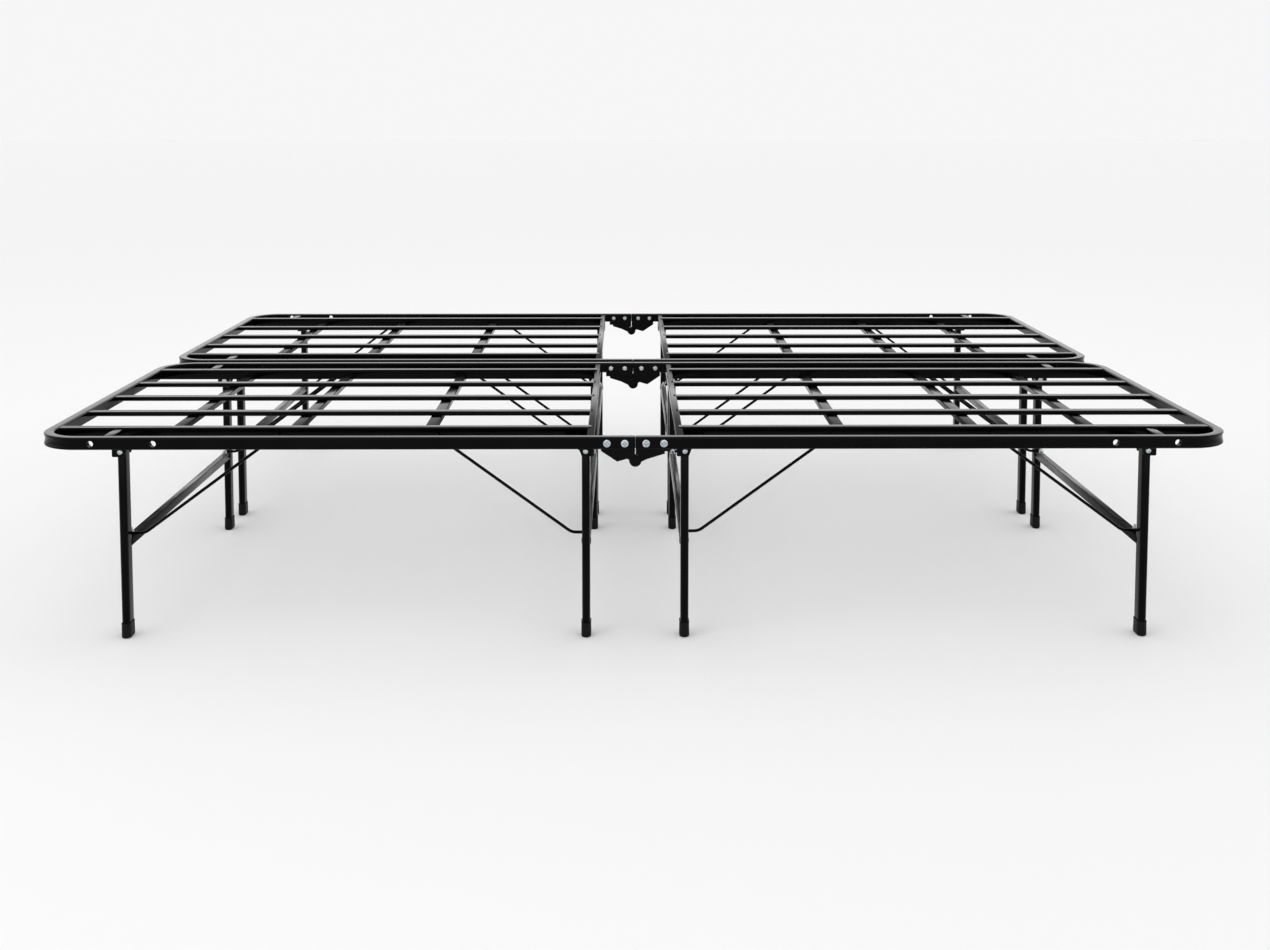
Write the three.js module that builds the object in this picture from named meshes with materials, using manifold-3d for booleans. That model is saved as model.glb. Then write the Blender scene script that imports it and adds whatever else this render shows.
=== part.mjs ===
// Folding metal platform bed frame: two matching units stand side by side, and each folds at mid length.
// Millimetres, +Z up, +X along the length, +Y across the width. The origin is on the floor, at the middle.
import * as THREE from 'three';
import { mergeVertices } from 'three/addons/utils/BufferGeometryUtils.js';
import Module from 'manifold-3d';

// ---- Overall sizes ----
const BED_LENGTH = 2032;
const BED_WIDTH = 1524;
const DECK_HEIGHT = 356;
const UNIT_GAP = 24; // free space between the two units
const SEAM_GAP = 0.8; // between the butting rail ends at mid length
const FIT_GAP = 0.3; // between pieces that touch

// ---- Side and end rail: one rectangular tube bent into a U ----
const RAIL_WIDTH = 18;
const RAIL_HEIGHT = 21;
const RAIL_EDGE = 2.4;
const CORNER_RADIUS = 74; // to the rail's outer face
const CORNER_DENT = 3; // how far the outer wall sinks where the tube is bent
const DENT_FLANK = 0.45; // where the dent's flank sits, as a share of the half height
const DENT_FLANK_DEPTH = 0.75; // how deep it is there, as a share of the dent
const DENT_SPREAD = 0.7; // below 1, the dent keeps its depth for longer along the bend
const CORNER_STEPS = 7;
const BRACKET_HOLE = 10.5;
const BRACKET_HOLE_INSETS = [101, 206]; // from the end of the bed

// ---- Slat grid inside the rail ----
const SLAT_COUNT = 5;
const SIDE_SLAT_INSET = 90; // from the unit's side to the middle of its first slat
const SIDE_SLAT_WIDTH = 20;
const SIDE_SLAT_HEIGHT = 20;
const SLAT_WIDTH = 22;
const SLAT_HEIGHT = 8;
const SLAT_DROP = 1.5; // top of the low slats below the deck
const CROSS_BAR_WIDTH = 20;
const WELD_SINK = 0.5; // how far welded bars run into each other
const END_CROSS_BAR_INSET = 209; // from the end of the bed
const END_WIRE_BAR_REACH = 274; // from the end legs towards the seam
const MID_WIRE_BAR_REACH = 277; // from the mid legs towards the end
const MID_BAR_WIDTH = 12;
const MID_BAR_HEIGHT = 15.5;
const MID_BAR_OFFSET = 76; // from the seam
const SPACER_WIDTH = 16;
const SPACER_INSET = 123; // from the end of the bed

// ---- Legs ----
const LEG_THICKNESS = 14;
const LEG_DEPTH = 30;
const LEG_SIDE_INSET = 45; // from the unit's side to the middle of the leg
const END_LEG_INSET = 142; // from the end of the bed
const MID_LEG_OFFSET = 84.5; // from the seam
const PIVOT_DROP = 30; // leg pivot below the deck
const LEG_TOP = 6; // leg above its pivot
const LEG_BAR_HEIGHT = 16;
const LEG_BAR_TOP = 171; // above the floor
const LEG_BAR_BITE = 7; // how far the bar runs into each leg
const PIVOT_BOLT = 6;
const WIRE_BOLT = 5;
const BOLT_CLEARANCE = 0.3;
const WIRE_BOLT_OFFSET = 7.1; // from the wire towards the middle of the unit

// ---- Leg bracket, welded under the rail ----
const BRACKET_LENGTH = 28;
const BRACKET_SHEET = 2;
const BRACKET_DEPTH = 21.5; // flange length down from the top of the web
const BRACKET_SIDE_GAP = 1.5;
const BRACKET_WEB_RISE = 12.5; // top of the web above the pivot

// ---- Foot cap ----
const FOOT_HEIGHT = 26;
const FOOT_WALL = 1.2;
const FOOT_FLOOR = 3;

// ---- Wire brace ----
const WIRE = 5.5;
const WIRE_SIDES = 6;
const WIRE_SIDE_INSET = 70.7; // from the unit's side, midway between the two halves' wires
const WIRE_STAGGER = 6.4; // between the wires of the two halves, so that they pass as the unit folds
const WIRE_PIVOT_DROP = 11; // below the deck
const WIRE_PIVOT_SHIFT = 18; // from the middle of its cross bar towards the leg
const WIRE_HOOK = 25.5; // flat end over the leg bar
const WIRE_LIFT = 0.6; // above the leg bar
const WIRE_TIP = 2; // pin end beyond the slat
const WIRE_HOLE_CLEARANCE = 0.5;
const WIRE_BEND = 6;

// ---- Folding hinge ----
const HINGE_DROP = 44.5; // fold axis below the deck
const HINGE_SHEET = 2.5;
const HINGE_LENGTH = 58.5;
const HINGE_LOBE = 10.6;
const HINGE_TOP_DROP = 4; // top of the plate below the deck
const HINGE_PIN = 6;
const HINGE_PIN_CLEARANCE = 0.3;
const HINGE_PIN_HEAD = 12;
const HINGE_PIN_HEAD_HEIGHT = 2;
const HINGE_PIN_FLAT = 0.7; // flat middle of the head, as a share of the head
const HINGE_HALF_GAP = 0.6; // between the plates at the seam
const STOP_OFFSET = 31; // stop corner of the fixed plate, from the seam
const STOP_DROP = 1.6; // stop corner below the fold axis
const NOTCH_OFFSET = 14; // notch between the stop corner and the lobe
const NOTCH_RISE = 3.2; // notch above the fold axis
const LOBE_NECK = 0.8; // where the plate meets its lobe, as a share of the lobe's radius
const PLATE_OVERHANG = 6.5; // outer end of the fixed plate below the rail
const SHOULDER_OFFSET = 12.7; // where the moving plate's lower edge starts
const SHOULDER_RISE = 0.6;
const STEP_INSET = 8.5; // small step at the end of the moving plate
const STEP_RISE = 12; // foot of the step above the fold axis
const STEP_HEIGHT = 4;
const CRANK_START = 13.6; // the moving plate's crank over the other lobe
const CRANK_END = 26;
const CRANK_LOW = 5; // lower edge of the crank above the fold axis, at its end
const CRANK_HIGH = 18; // upper edge
const ARM_HALF_HEIGHT = 7.4; // of the cranked arm, at the fold axis
const SCREW = 6;
const SCREW_OFFSETS = [18, 48]; // from the seam

// ---- Roundness of the curved faces ----
const OVAL_STEPS = 3;
const BEND_STEPS = 2;
const ROUND_SIDES = 10;
const SMALL_HOLE_SIDES = 8;
const LOBE_SIDES = 20;
const PIN_SIDES = 12;
const CUT_RUN = 1; // how far a cutting tool runs past a face

// ---- Derived places ----
const halfLength = BED_LENGTH / 2;
const unitWidth = (BED_WIDTH - UNIT_GAP) / 2;
const railBottom = DECK_HEIGHT - RAIL_HEIGHT;
const railMiddle = DECK_HEIGHT - RAIL_HEIGHT / 2;
const gridBottom = DECK_HEIGHT - SIDE_SLAT_HEIGHT;
const lowSlatTop = DECK_HEIGHT - SLAT_DROP;
const endLegU = halfLength - END_LEG_INSET;
const endWireBarU = endLegU - END_WIRE_BAR_REACH;
const midWireBarU = MID_LEG_OFFSET + MID_WIRE_BAR_REACH;
const endCrossBarU = halfLength - END_CROSS_BAR_INSET;
const pivotZ = DECK_HEIGHT - PIVOT_DROP;
const hingeZ = DECK_HEIGHT - HINGE_DROP;
const wirePivotZ = DECK_HEIGHT - WIRE_PIVOT_DROP;
const wireHookZ = LEG_BAR_TOP + WIRE_LIFT + WIRE / 2;

const UNITS = [
  { name: 'front', y: -BED_WIDTH / 2 },
  { name: 'rear', y: UNIT_GAP / 2 },
];
const HALVES = [
  { name: 'left', sign: -1, wireInset: WIRE_SIDE_INSET - WIRE_STAGGER / 2 },
  { name: 'right', sign: 1, wireInset: WIRE_SIDE_INSET + WIRE_STAGGER / 2 },
];
const SIDES = [
  { name: 'near', flip: false },
  { name: 'far', flip: true },
];
// legU is the leg's place, barU the cross bar that its wires reach, and reach the way from leg to bar.
const LEG_SETS = [
  { name: 'end', legU: endLegU, barU: endWireBarU, reach: -1 },
  { name: 'mid', legU: MID_LEG_OFFSET, barU: midWireBarU, reach: 1 },
];

// ---- Materials ----
const powderCoat = { color: 0x0d0d0e, roughness: 0.32, metalness: 0.3 };
const satinCoat = { color: 0x151516, roughness: 0.45, metalness: 0.3 };
const blackPlastic = { color: 0x101011, roughness: 0.6, metalness: 0 };
const zincPlate = { color: 0xb9bec2, roughness: 0.3, metalness: 1 };

const wasm = await Module();
wasm.setup();

// ---- Solids ----

// Makes a solid that can be joined and cut from a closed geometry.
function toSolid(geometry) {
  const bare = geometry.clone();
  bare.deleteAttribute('normal');
  bare.deleteAttribute('uv');
  const merged = mergeVertices(bare, 1e-4);
  const vertProperties = new Float32Array(merged.attributes.position.array);
  const triVerts = new Uint32Array(merged.index.array);
  return new wasm.Manifold(new wasm.Mesh({ numProp: 3, vertProperties, triVerts }));
}

function toGeometry(solid) {
  const mesh = solid.getMesh();
  const geometry = new THREE.BufferGeometry();
  geometry.setAttribute('position', new THREE.BufferAttribute(mesh.vertProperties, 3));
  geometry.setIndex(new THREE.BufferAttribute(mesh.triVerts, 1));
  geometry.computeVertexNormals();
  return geometry;
}

function join(solids) {
  return solids.reduce((whole, piece) => whole.add(piece));
}

function cut(solid, tools) {
  return tools.reduce((rest, tool) => rest.subtract(tool), solid);
}

// A box between two corners.
function boxSolid(low, high) {
  const size = high.map((value, axis) => value - low[axis]);
  const geometry = new THREE.BoxGeometry(...size);
  geometry.translate(...low.map((value, axis) => value + size[axis] / 2));
  return toSolid(geometry);
}

// A round bar along Y, from y0 to y1, at (x, z).
function barAlongY(diameter, x, z, y0, y1, segments = ROUND_SIDES) {
  const geometry = new THREE.CylinderGeometry(diameter / 2, diameter / 2, y1 - y0, segments);
  geometry.translate(x, (y0 + y1) / 2, z);
  return toSolid(geometry);
}

// A round bar along Z, from z0 to z1, at (x, y).
function barAlongZ(diameter, x, y, z0, z1) {
  const geometry = new THREE.CylinderGeometry(diameter / 2, diameter / 2, z1 - z0, SMALL_HOLE_SIDES);
  geometry.rotateX(Math.PI / 2);
  geometry.translate(x, y, (z0 + z1) / 2);
  return toSolid(geometry);
}

// A closed solid through rings of equal length, each a list of THREE.Vector3.
// The rings turn anticlockwise when seen from the end of the path.
function loftGeometry(rings, flatRing) {
  const count = flatRing.length;
  const positions = rings.flat().flatMap((point) => point.toArray());
  const index = [];
  for (let ring = 0; ring < rings.length - 1; ring++) {
    for (let side = 0; side < count; side++) {
      const a = ring * count + side;
      const b = ring * count + ((side + 1) % count);
      index.push(a, b, b + count, a, b + count, a + count);
    }
  }
  const lastRing = (rings.length - 1) * count;
  for (const [a, b, c] of THREE.ShapeUtils.triangulateShape(flatRing, [])) {
    index.push(c, b, a);
    index.push(lastRing + a, lastRing + b, lastRing + c);
  }
  const geometry = new THREE.BufferGeometry();
  geometry.setAttribute('position', new THREE.Float32BufferAttribute(positions, 3));
  geometry.setIndex(index);
  return geometry;
}

// Mirrors a geometry in the plane x = 0 (axis 0) or y = middle (axis 1).
function mirrored(geometry, axis, middle = 0) {
  const flipped = geometry.clone();
  const place = flipped.attributes.position;
  for (let i = 0; i < place.count; i++) {
    place.setComponent(i, axis, 2 * middle - place.getComponent(i, axis));
  }
  const order = flipped.index.array;
  for (let i = 0; i < order.length; i += 3) {
    [order[i], order[i + 1]] = [order[i + 1], order[i]];
  }
  flipped.computeVertexNormals();
  return flipped;
}

// A flat oval, round at both Y ends, extruded along Z.
function flatOvalSolid(thickness, depth, x, y, z0, z1) {
  const radius = thickness / 2;
  const straight = depth / 2 - radius;
  const shape = new THREE.Shape();
  shape.moveTo(radius, -straight);
  shape.lineTo(radius, straight);
  shape.absarc(0, straight, radius, 0, Math.PI, false);
  shape.lineTo(-radius, -straight);
  shape.absarc(0, -straight, radius, Math.PI, 2 * Math.PI, false);
  const geometry = new THREE.ExtrudeGeometry(shape, {
    depth: z1 - z0,
    bevelEnabled: false,
    curveSegments: OVAL_STEPS,
  });
  geometry.translate(x, y, z0);
  return toSolid(geometry);
}

// A plate in the XZ plane between y0 and y1, from an outline of [x, z] points.
function plateSolid(outline, y0, y1) {
  const shape = new THREE.Shape(outline.map(([x, z]) => new THREE.Vector2(x, z)));
  const geometry = new THREE.ExtrudeGeometry(shape, { depth: y1 - y0, bevelEnabled: false });
  geometry.rotateX(Math.PI / 2);
  geometry.translate(0, y1, 0);
  return toSolid(geometry);
}

// ---- Pieces of one right half unit: x runs from the seam, y from the near side of the unit ----

// The rail's section, as [outward, up] from its middle, with the outer wall sunk by dent.
function railSection(dent) {
  const side = RAIL_WIDTH / 2;
  const top = RAIL_HEIGHT / 2;
  const flank = top * DENT_FLANK;
  const flankDent = dent * DENT_FLANK_DEPTH;
  return [
    [-side + RAIL_EDGE, -top],
    [side - RAIL_EDGE, -top],
    [side, -top + RAIL_EDGE],
    [side - flankDent, -flank],
    [side - dent, 0],
    [side - flankDent, flank],
    [side, top - RAIL_EDGE],
    [side - RAIL_EDGE, top],
    [-side + RAIL_EDGE, top],
    [-side, top - RAIL_EDGE],
    [-side, -top + RAIL_EDGE],
  ];
}

function railGeometry() {
  const middle = CORNER_RADIUS - RAIL_WIDTH / 2;
  const stations = [{ x: SEAM_GAP / 2, y: RAIL_WIDTH / 2, angle: -Math.PI / 2, dent: 0 }];
  for (const [centreY, start] of [[CORNER_RADIUS, -Math.PI / 2], [unitWidth - CORNER_RADIUS, 0]]) {
    for (let step = 0; step <= CORNER_STEPS; step++) {
      const share = step / CORNER_STEPS;
      const angle = start + (share * Math.PI) / 2;
      stations.push({
        x: halfLength - CORNER_RADIUS + middle * Math.cos(angle),
        y: centreY + middle * Math.sin(angle),
        angle,
        dent: CORNER_DENT * Math.sin(share * Math.PI) ** DENT_SPREAD,
      });
    }
  }
  stations.push({ x: SEAM_GAP / 2, y: unitWidth - RAIL_WIDTH / 2, angle: Math.PI / 2, dent: 0 });
  const rings = stations.reverse().map(({ x, y, angle, dent }) =>
    railSection(dent).map(
      ([out, up]) =>
        new THREE.Vector3(x + out * Math.cos(angle), y + out * Math.sin(angle), railMiddle + up)
    )
  );
  const flat = railSection(0).map(([out, up]) => new THREE.Vector2(out, up));
  return loftGeometry(rings, flat);
}

// The sheet bracket that a leg pivots in: a web on the rail's inner side and two hanging flanges.
function legBracketSolid(legU) {
  const webTop = pivotZ + BRACKET_WEB_RISE;
  const gap = LEG_DEPTH / 2 + BRACKET_SIDE_GAP;
  const x0 = legU - BRACKET_LENGTH / 2;
  const x1 = legU + BRACKET_LENGTH / 2;
  const nearFlange = LEG_SIDE_INSET - gap - BRACKET_SHEET;
  const farFlange = LEG_SIDE_INSET + gap + BRACKET_SHEET;
  const flangeBottom = webTop - BRACKET_DEPTH;
  return join([
    boxSolid([x0, RAIL_WIDTH - WELD_SINK, webTop - BRACKET_SHEET], [x1, farFlange, webTop]),
    boxSolid([x0, nearFlange, flangeBottom], [x1, nearFlange + BRACKET_SHEET, webTop]),
    boxSolid([x0, farFlange - BRACKET_SHEET, flangeBottom], [x1, farFlange, webTop]),
  ]);
}

function flipAcross(solid) {
  return toSolid(mirrored(toGeometry(solid), 1, unitWidth / 2));
}

function railWithBrackets() {
  const brackets = LEG_SETS.map(({ legU }) => legBracketSolid(legU));
  const whole = join([toSolid(railGeometry()), ...brackets, ...brackets.map(flipAcross)]);
  const pivotHole = PIVOT_BOLT + 2 * BOLT_CLEARANCE;
  const pivotHoles = LEG_SETS.map(({ legU }) =>
    barAlongY(pivotHole, legU, pivotZ, RAIL_WIDTH + CUT_RUN, unitWidth - RAIL_WIDTH - CUT_RUN)
  );
  const throughHoles = BRACKET_HOLE_INSETS.map((inset) =>
    barAlongY(BRACKET_HOLE, halfLength - inset, railMiddle, -CUT_RUN, unitWidth + CUT_RUN)
  );
  const screwHoles = screwHolesFor(1, -CUT_RUN, unitWidth + CUT_RUN);
  return cut(whole, [...pivotHoles, ...throughHoles, ...screwHoles]);
}

function slatGrid() {
  const pitch = (unitWidth - 2 * SIDE_SLAT_INSET) / (SLAT_COUNT - 1);
  const slatEnd = halfLength - RAIL_WIDTH - FIT_GAP;
  const pieces = [];
  for (let slat = 0; slat < SLAT_COUNT; slat++) {
    const onSide = slat === 0 || slat === SLAT_COUNT - 1;
    const width = onSide ? SIDE_SLAT_WIDTH : SLAT_WIDTH;
    const top = onSide ? DECK_HEIGHT : lowSlatTop;
    const height = onSide ? SIDE_SLAT_HEIGHT : SLAT_HEIGHT;
    const y = SIDE_SLAT_INSET + slat * pitch;
    const low = [MID_BAR_OFFSET + WELD_SINK, y - width / 2, top - height];
    pieces.push(boxSolid(low, [slatEnd, y + width / 2, top]));
  }
  const barStart = SIDE_SLAT_INSET + SIDE_SLAT_WIDTH / 2 - WELD_SINK;
  const barTop = lowSlatTop - SLAT_HEIGHT + WELD_SINK;
  for (const x of [endCrossBarU, endWireBarU, midWireBarU]) {
    const low = [x - CROSS_BAR_WIDTH / 2, barStart, gridBottom];
    pieces.push(boxSolid(low, [x + CROSS_BAR_WIDTH / 2, unitWidth - barStart, barTop]));
  }
  const railFace = RAIL_WIDTH + FIT_GAP;
  const midLow = [MID_BAR_OFFSET - MID_BAR_WIDTH / 2, railFace, lowSlatTop - MID_BAR_HEIGHT];
  const midHigh = [MID_BAR_OFFSET + MID_BAR_WIDTH / 2, unitWidth - railFace, lowSlatTop];
  pieces.push(boxSolid(midLow, midHigh));
  const spacerU = halfLength - SPACER_INSET;
  const spacerEnd = SIDE_SLAT_INSET - SIDE_SLAT_WIDTH / 2 + WELD_SINK;
  const spacerLow = [spacerU - SPACER_WIDTH / 2, railFace, lowSlatTop - SLAT_HEIGHT];
  const spacer = boxSolid(spacerLow, [spacerU + SPACER_WIDTH / 2, spacerEnd, lowSlatTop]);
  pieces.push(spacer, flipAcross(spacer));
  const wireHoles = LEG_SETS.map(({ barU, reach }) => {
    const x = barU - reach * WIRE_PIVOT_SHIFT;
    const slatFace = SIDE_SLAT_INSET - SIDE_SLAT_WIDTH / 2 - CUT_RUN;
    const slatBack = SIDE_SLAT_INSET + SIDE_SLAT_WIDTH / 2 + CUT_RUN;
    return barAlongY(WIRE + 2 * WIRE_HOLE_CLEARANCE, x, wirePivotZ, slatFace, slatBack, WIRE_SIDES);
  });
  return cut(join(pieces), [...wireHoles, ...wireHoles.map(flipAcross)]);
}

function legFrame({ legU }, { wireInset }) {
  const legBottom = FOOT_FLOOR + FIT_GAP;
  const leg = flatOvalSolid(LEG_THICKNESS, LEG_DEPTH, legU, LEG_SIDE_INSET, legBottom, pivotZ + LEG_TOP);
  const barFrom = LEG_SIDE_INSET + LEG_DEPTH / 2 - LEG_BAR_BITE;
  const barBottom = LEG_BAR_TOP - LEG_BAR_HEIGHT;
  const bar = boxSolid(
    [legU - LEG_THICKNESS / 2, barFrom, barBottom],
    [legU + LEG_THICKNESS / 2, unitWidth - barFrom, LEG_BAR_TOP]
  );
  const pivotHole = barAlongY(PIVOT_BOLT + 2 * BOLT_CLEARANCE, legU, pivotZ, 0, unitWidth);
  const boltY = wireInset + WIRE_BOLT_OFFSET;
  const wireBolt = WIRE_BOLT + 2 * BOLT_CLEARANCE;
  const boltHole = barAlongZ(wireBolt, legU, boltY, barBottom - CUT_RUN, LEG_BAR_TOP + CUT_RUN);
  return cut(join([leg, bar, flipAcross(leg)]), [pivotHole, boltHole, flipAcross(boltHole)]);
}

function footCap({ legU }) {
  const pocketThickness = LEG_THICKNESS + 2 * FIT_GAP;
  const pocketDepth = LEG_DEPTH + 2 * FIT_GAP;
  const outerThickness = pocketThickness + 2 * FOOT_WALL;
  const outerDepth = pocketDepth + 2 * FOOT_WALL;
  const outside = flatOvalSolid(outerThickness, outerDepth, legU, LEG_SIDE_INSET, 0, FOOT_HEIGHT);
  const pocketTop = FOOT_HEIGHT + CUT_RUN;
  const pocket = flatOvalSolid(
    pocketThickness, pocketDepth, legU, LEG_SIDE_INSET, FOOT_FLOOR, pocketTop
  );
  return cut(outside, [pocket]);
}

// The wire's path: a pin through the side slat, a slope down to the leg and a flat end over the leg bar.
function wirePath({ legU, barU, reach }, { wireInset }) {
  const pivotU = barU - reach * WIRE_PIVOT_SHIFT;
  const hookU = legU + reach * WIRE_HOOK;
  const pinEnd = SIDE_SLAT_INSET + SIDE_SLAT_WIDTH / 2 + WIRE_TIP;
  const corners = [
    new THREE.Vector3(pivotU, pinEnd, wirePivotZ),
    new THREE.Vector3(pivotU, wireInset, wirePivotZ),
    new THREE.Vector3(hookU, wireInset, wireHookZ),
    new THREE.Vector3(legU, wireInset, wireHookZ),
  ];
  const points = [corners[0]];
  for (let i = 1; i < corners.length - 1; i++) {
    const back = corners[i - 1].clone().sub(corners[i]).setLength(WIRE_BEND).add(corners[i]);
    const ahead = corners[i + 1].clone().sub(corners[i]).setLength(WIRE_BEND).add(corners[i]);
    points.push(...new THREE.QuadraticBezierCurve3(back, corners[i], ahead).getPoints(BEND_STEPS));
  }
  points.push(corners[corners.length - 1]);
  return points;
}

// Carries a round section along points, turning it with the path and without twist.
function wireGeometry(legSet, half) {
  const points = wirePath(legSet, half);
  const tangents = points.map((point, i) => {
    const before = points[Math.max(i - 1, 0)];
    const after = points[Math.min(i + 1, points.length - 1)];
    return after.clone().sub(before).normalize();
  });
  const flat = [];
  for (let side = 0; side < WIRE_SIDES; side++) {
    const angle = (side * 2 * Math.PI) / WIRE_SIDES;
    flat.push(new THREE.Vector2(Math.cos(angle), Math.sin(angle)).multiplyScalar(WIRE / 2));
  }
  const sideways = new THREE.Vector3(0, 0, 1).cross(tangents[0]).normalize();
  const rings = points.map((point, i) => {
    if (i > 0) {
      const turn = new THREE.Quaternion().setFromUnitVectors(tangents[i - 1], tangents[i]);
      sideways.applyQuaternion(turn);
    }
    const upward = tangents[i].clone().cross(sideways);
    return flat.map(({ x, y }) =>
      point.clone().addScaledVector(sideways, x).addScaledVector(upward, y)
    );
  });
  return loftGeometry(rings, flat);
}

// ---- Hinge plates and pin, on the inner face of the near rail ----

function screwHolesFor(sign, y0, y1) {
  return SCREW_OFFSETS.map((x) =>
    barAlongY(SCREW + 2 * BOLT_CLEARANCE, sign * x, railMiddle, y0, y1, SMALL_HOLE_SIDES)
  );
}

function hingePinHole() {
  const through = RAIL_WIDTH + 2 * HINGE_SHEET + 2 * FIT_GAP + CUT_RUN;
  return barAlongY(HINGE_PIN + 2 * HINGE_PIN_CLEARANCE, 0, hingeZ, RAIL_WIDTH - CUT_RUN, through);
}

// The fixed plate lies flat on the rail, with a stop corner beside its lobe.
function fixedHingePlate() {
  const y0 = RAIL_WIDTH + FIT_GAP;
  const y1 = y0 + HINGE_SHEET;
  const top = DECK_HEIGHT - HINGE_TOP_DROP;
  const outline = [
    [-HINGE_HALF_GAP, hingeZ],
    [-HINGE_HALF_GAP, top],
    [-HINGE_LENGTH, top],
    [-HINGE_LENGTH, railBottom - PLATE_OVERHANG],
    [-STOP_OFFSET, hingeZ - STOP_DROP],
    [-NOTCH_OFFSET, hingeZ + NOTCH_RISE],
    [-HINGE_LOBE * LOBE_NECK, hingeZ],
  ];
  const lobe = barAlongY(2 * HINGE_LOBE, 0, hingeZ, y0, y1, LOBE_SIDES);
  const holes = [hingePinHole(), ...screwHolesFor(-1, y0 - CUT_RUN, y1 + CUT_RUN)];
  return cut(join([plateSolid(outline, y0, y1), lobe]), holes);
}

// The moving plate is cranked, so that its lobe passes over the fixed plate's lobe.
function movingHingePlate() {
  const y0 = RAIL_WIDTH + FIT_GAP;
  const y1 = y0 + HINGE_SHEET;
  const armY0 = y1 + FIT_GAP;
  const armY1 = armY0 + HINGE_SHEET;
  const top = DECK_HEIGHT - HINGE_TOP_DROP;
  const stepU = HINGE_LENGTH - STEP_INSET;
  const baseOutline = [
    [HINGE_HALF_GAP, hingeZ + HINGE_LOBE],
    [SHOULDER_OFFSET, hingeZ + SHOULDER_RISE],
    [stepU, hingeZ + STEP_RISE],
    [stepU, hingeZ + STEP_RISE + STEP_HEIGHT],
    [HINGE_LENGTH, hingeZ + STEP_RISE + STEP_HEIGHT],
    [HINGE_LENGTH, top],
    [HINGE_HALF_GAP, top],
  ];
  const crankOutline = [
    [CRANK_START, hingeZ + SHOULDER_RISE],
    [CRANK_END, hingeZ + CRANK_LOW],
    [CRANK_END, hingeZ + CRANK_HIGH],
    [CRANK_START, hingeZ + CRANK_HIGH],
  ];
  const armOutline = [
    [0, hingeZ - ARM_HALF_HEIGHT],
    [CRANK_END, hingeZ + CRANK_LOW],
    [CRANK_END, hingeZ + CRANK_HIGH],
    [0, hingeZ + ARM_HALF_HEIGHT],
  ];
  const sweepWidth = 2 * (HINGE_LOBE + 2 * FIT_GAP);
  const sweep = barAlongY(sweepWidth, 0, hingeZ, y0 - CUT_RUN, y1 + CUT_RUN, LOBE_SIDES);
  const whole = join([
    cut(plateSolid(baseOutline, y0, y1), [sweep]),
    plateSolid(crankOutline, y1 - WELD_SINK, armY1),
    plateSolid(armOutline, armY0, armY1),
    barAlongY(2 * HINGE_LOBE, 0, hingeZ, armY0, armY1, LOBE_SIDES),
  ]);
  return cut(whole, [hingePinHole(), ...screwHolesFor(1, y0 - CUT_RUN, y1 + CUT_RUN)]);
}

// A riveted pin with a head on each side of the two lobes.
function hingePinGeometry() {
  const start = RAIL_WIDTH;
  const end = RAIL_WIDTH + 3 * FIT_GAP + 2 * HINGE_SHEET;
  const shaft = HINGE_PIN / 2;
  const head = HINGE_PIN_HEAD / 2;
  const outline = [
    [0, start - HINGE_PIN_HEAD_HEIGHT],
    [head * HINGE_PIN_FLAT, start - HINGE_PIN_HEAD_HEIGHT],
    [head, start - HINGE_PIN_HEAD_HEIGHT / 2],
    [head, start],
    [shaft, start],
    [shaft, end],
    [head, end],
    [head, end + HINGE_PIN_HEAD_HEIGHT / 2],
    [head * HINGE_PIN_FLAT, end + HINGE_PIN_HEAD_HEIGHT],
    [0, end + HINGE_PIN_HEAD_HEIGHT],
  ];
  const profile = outline.map(([x, y]) => new THREE.Vector2(x, y));
  const geometry = new THREE.LatheGeometry(profile, PIN_SIDES);
  geometry.translate(0, 0, hingeZ);
  return toGeometry(toSolid(geometry));
}

// ---- Assembly ----

const bed = new THREE.Group();

function addPiece(parent, name, geometry, finish) {
  const mesh = new THREE.Mesh(geometry, new THREE.MeshStandardMaterial(finish));
  mesh.name = name;
  parent.add(mesh);
}

// Turns a near-side, right-half geometry to the side and the half that it belongs to.
function placed(geometry, half, side = SIDES[0]) {
  const onSide = side.flip ? mirrored(geometry, 1, unitWidth / 2) : geometry;
  return half.sign < 0 ? mirrored(onSide, 0) : onSide.clone();
}

// The shapes of both leg sets of one half.
function legShapesFor(half) {
  return LEG_SETS.map((legSet) => ({
    legSet,
    frame: toGeometry(legFrame(legSet, half)),
    foot: toGeometry(footCap(legSet)),
    wire: wireGeometry(legSet, half),
  }));
}

const railShape = toGeometry(railWithBrackets());
const gridShape = toGeometry(slatGrid());
const legShapes = Object.fromEntries(HALVES.map((half) => [half.name, legShapesFor(half)]));
const fixedPlateShape = toGeometry(fixedHingePlate());
const movingPlateShape = toGeometry(movingHingePlate());
const pinShape = hingePinGeometry();

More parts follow.
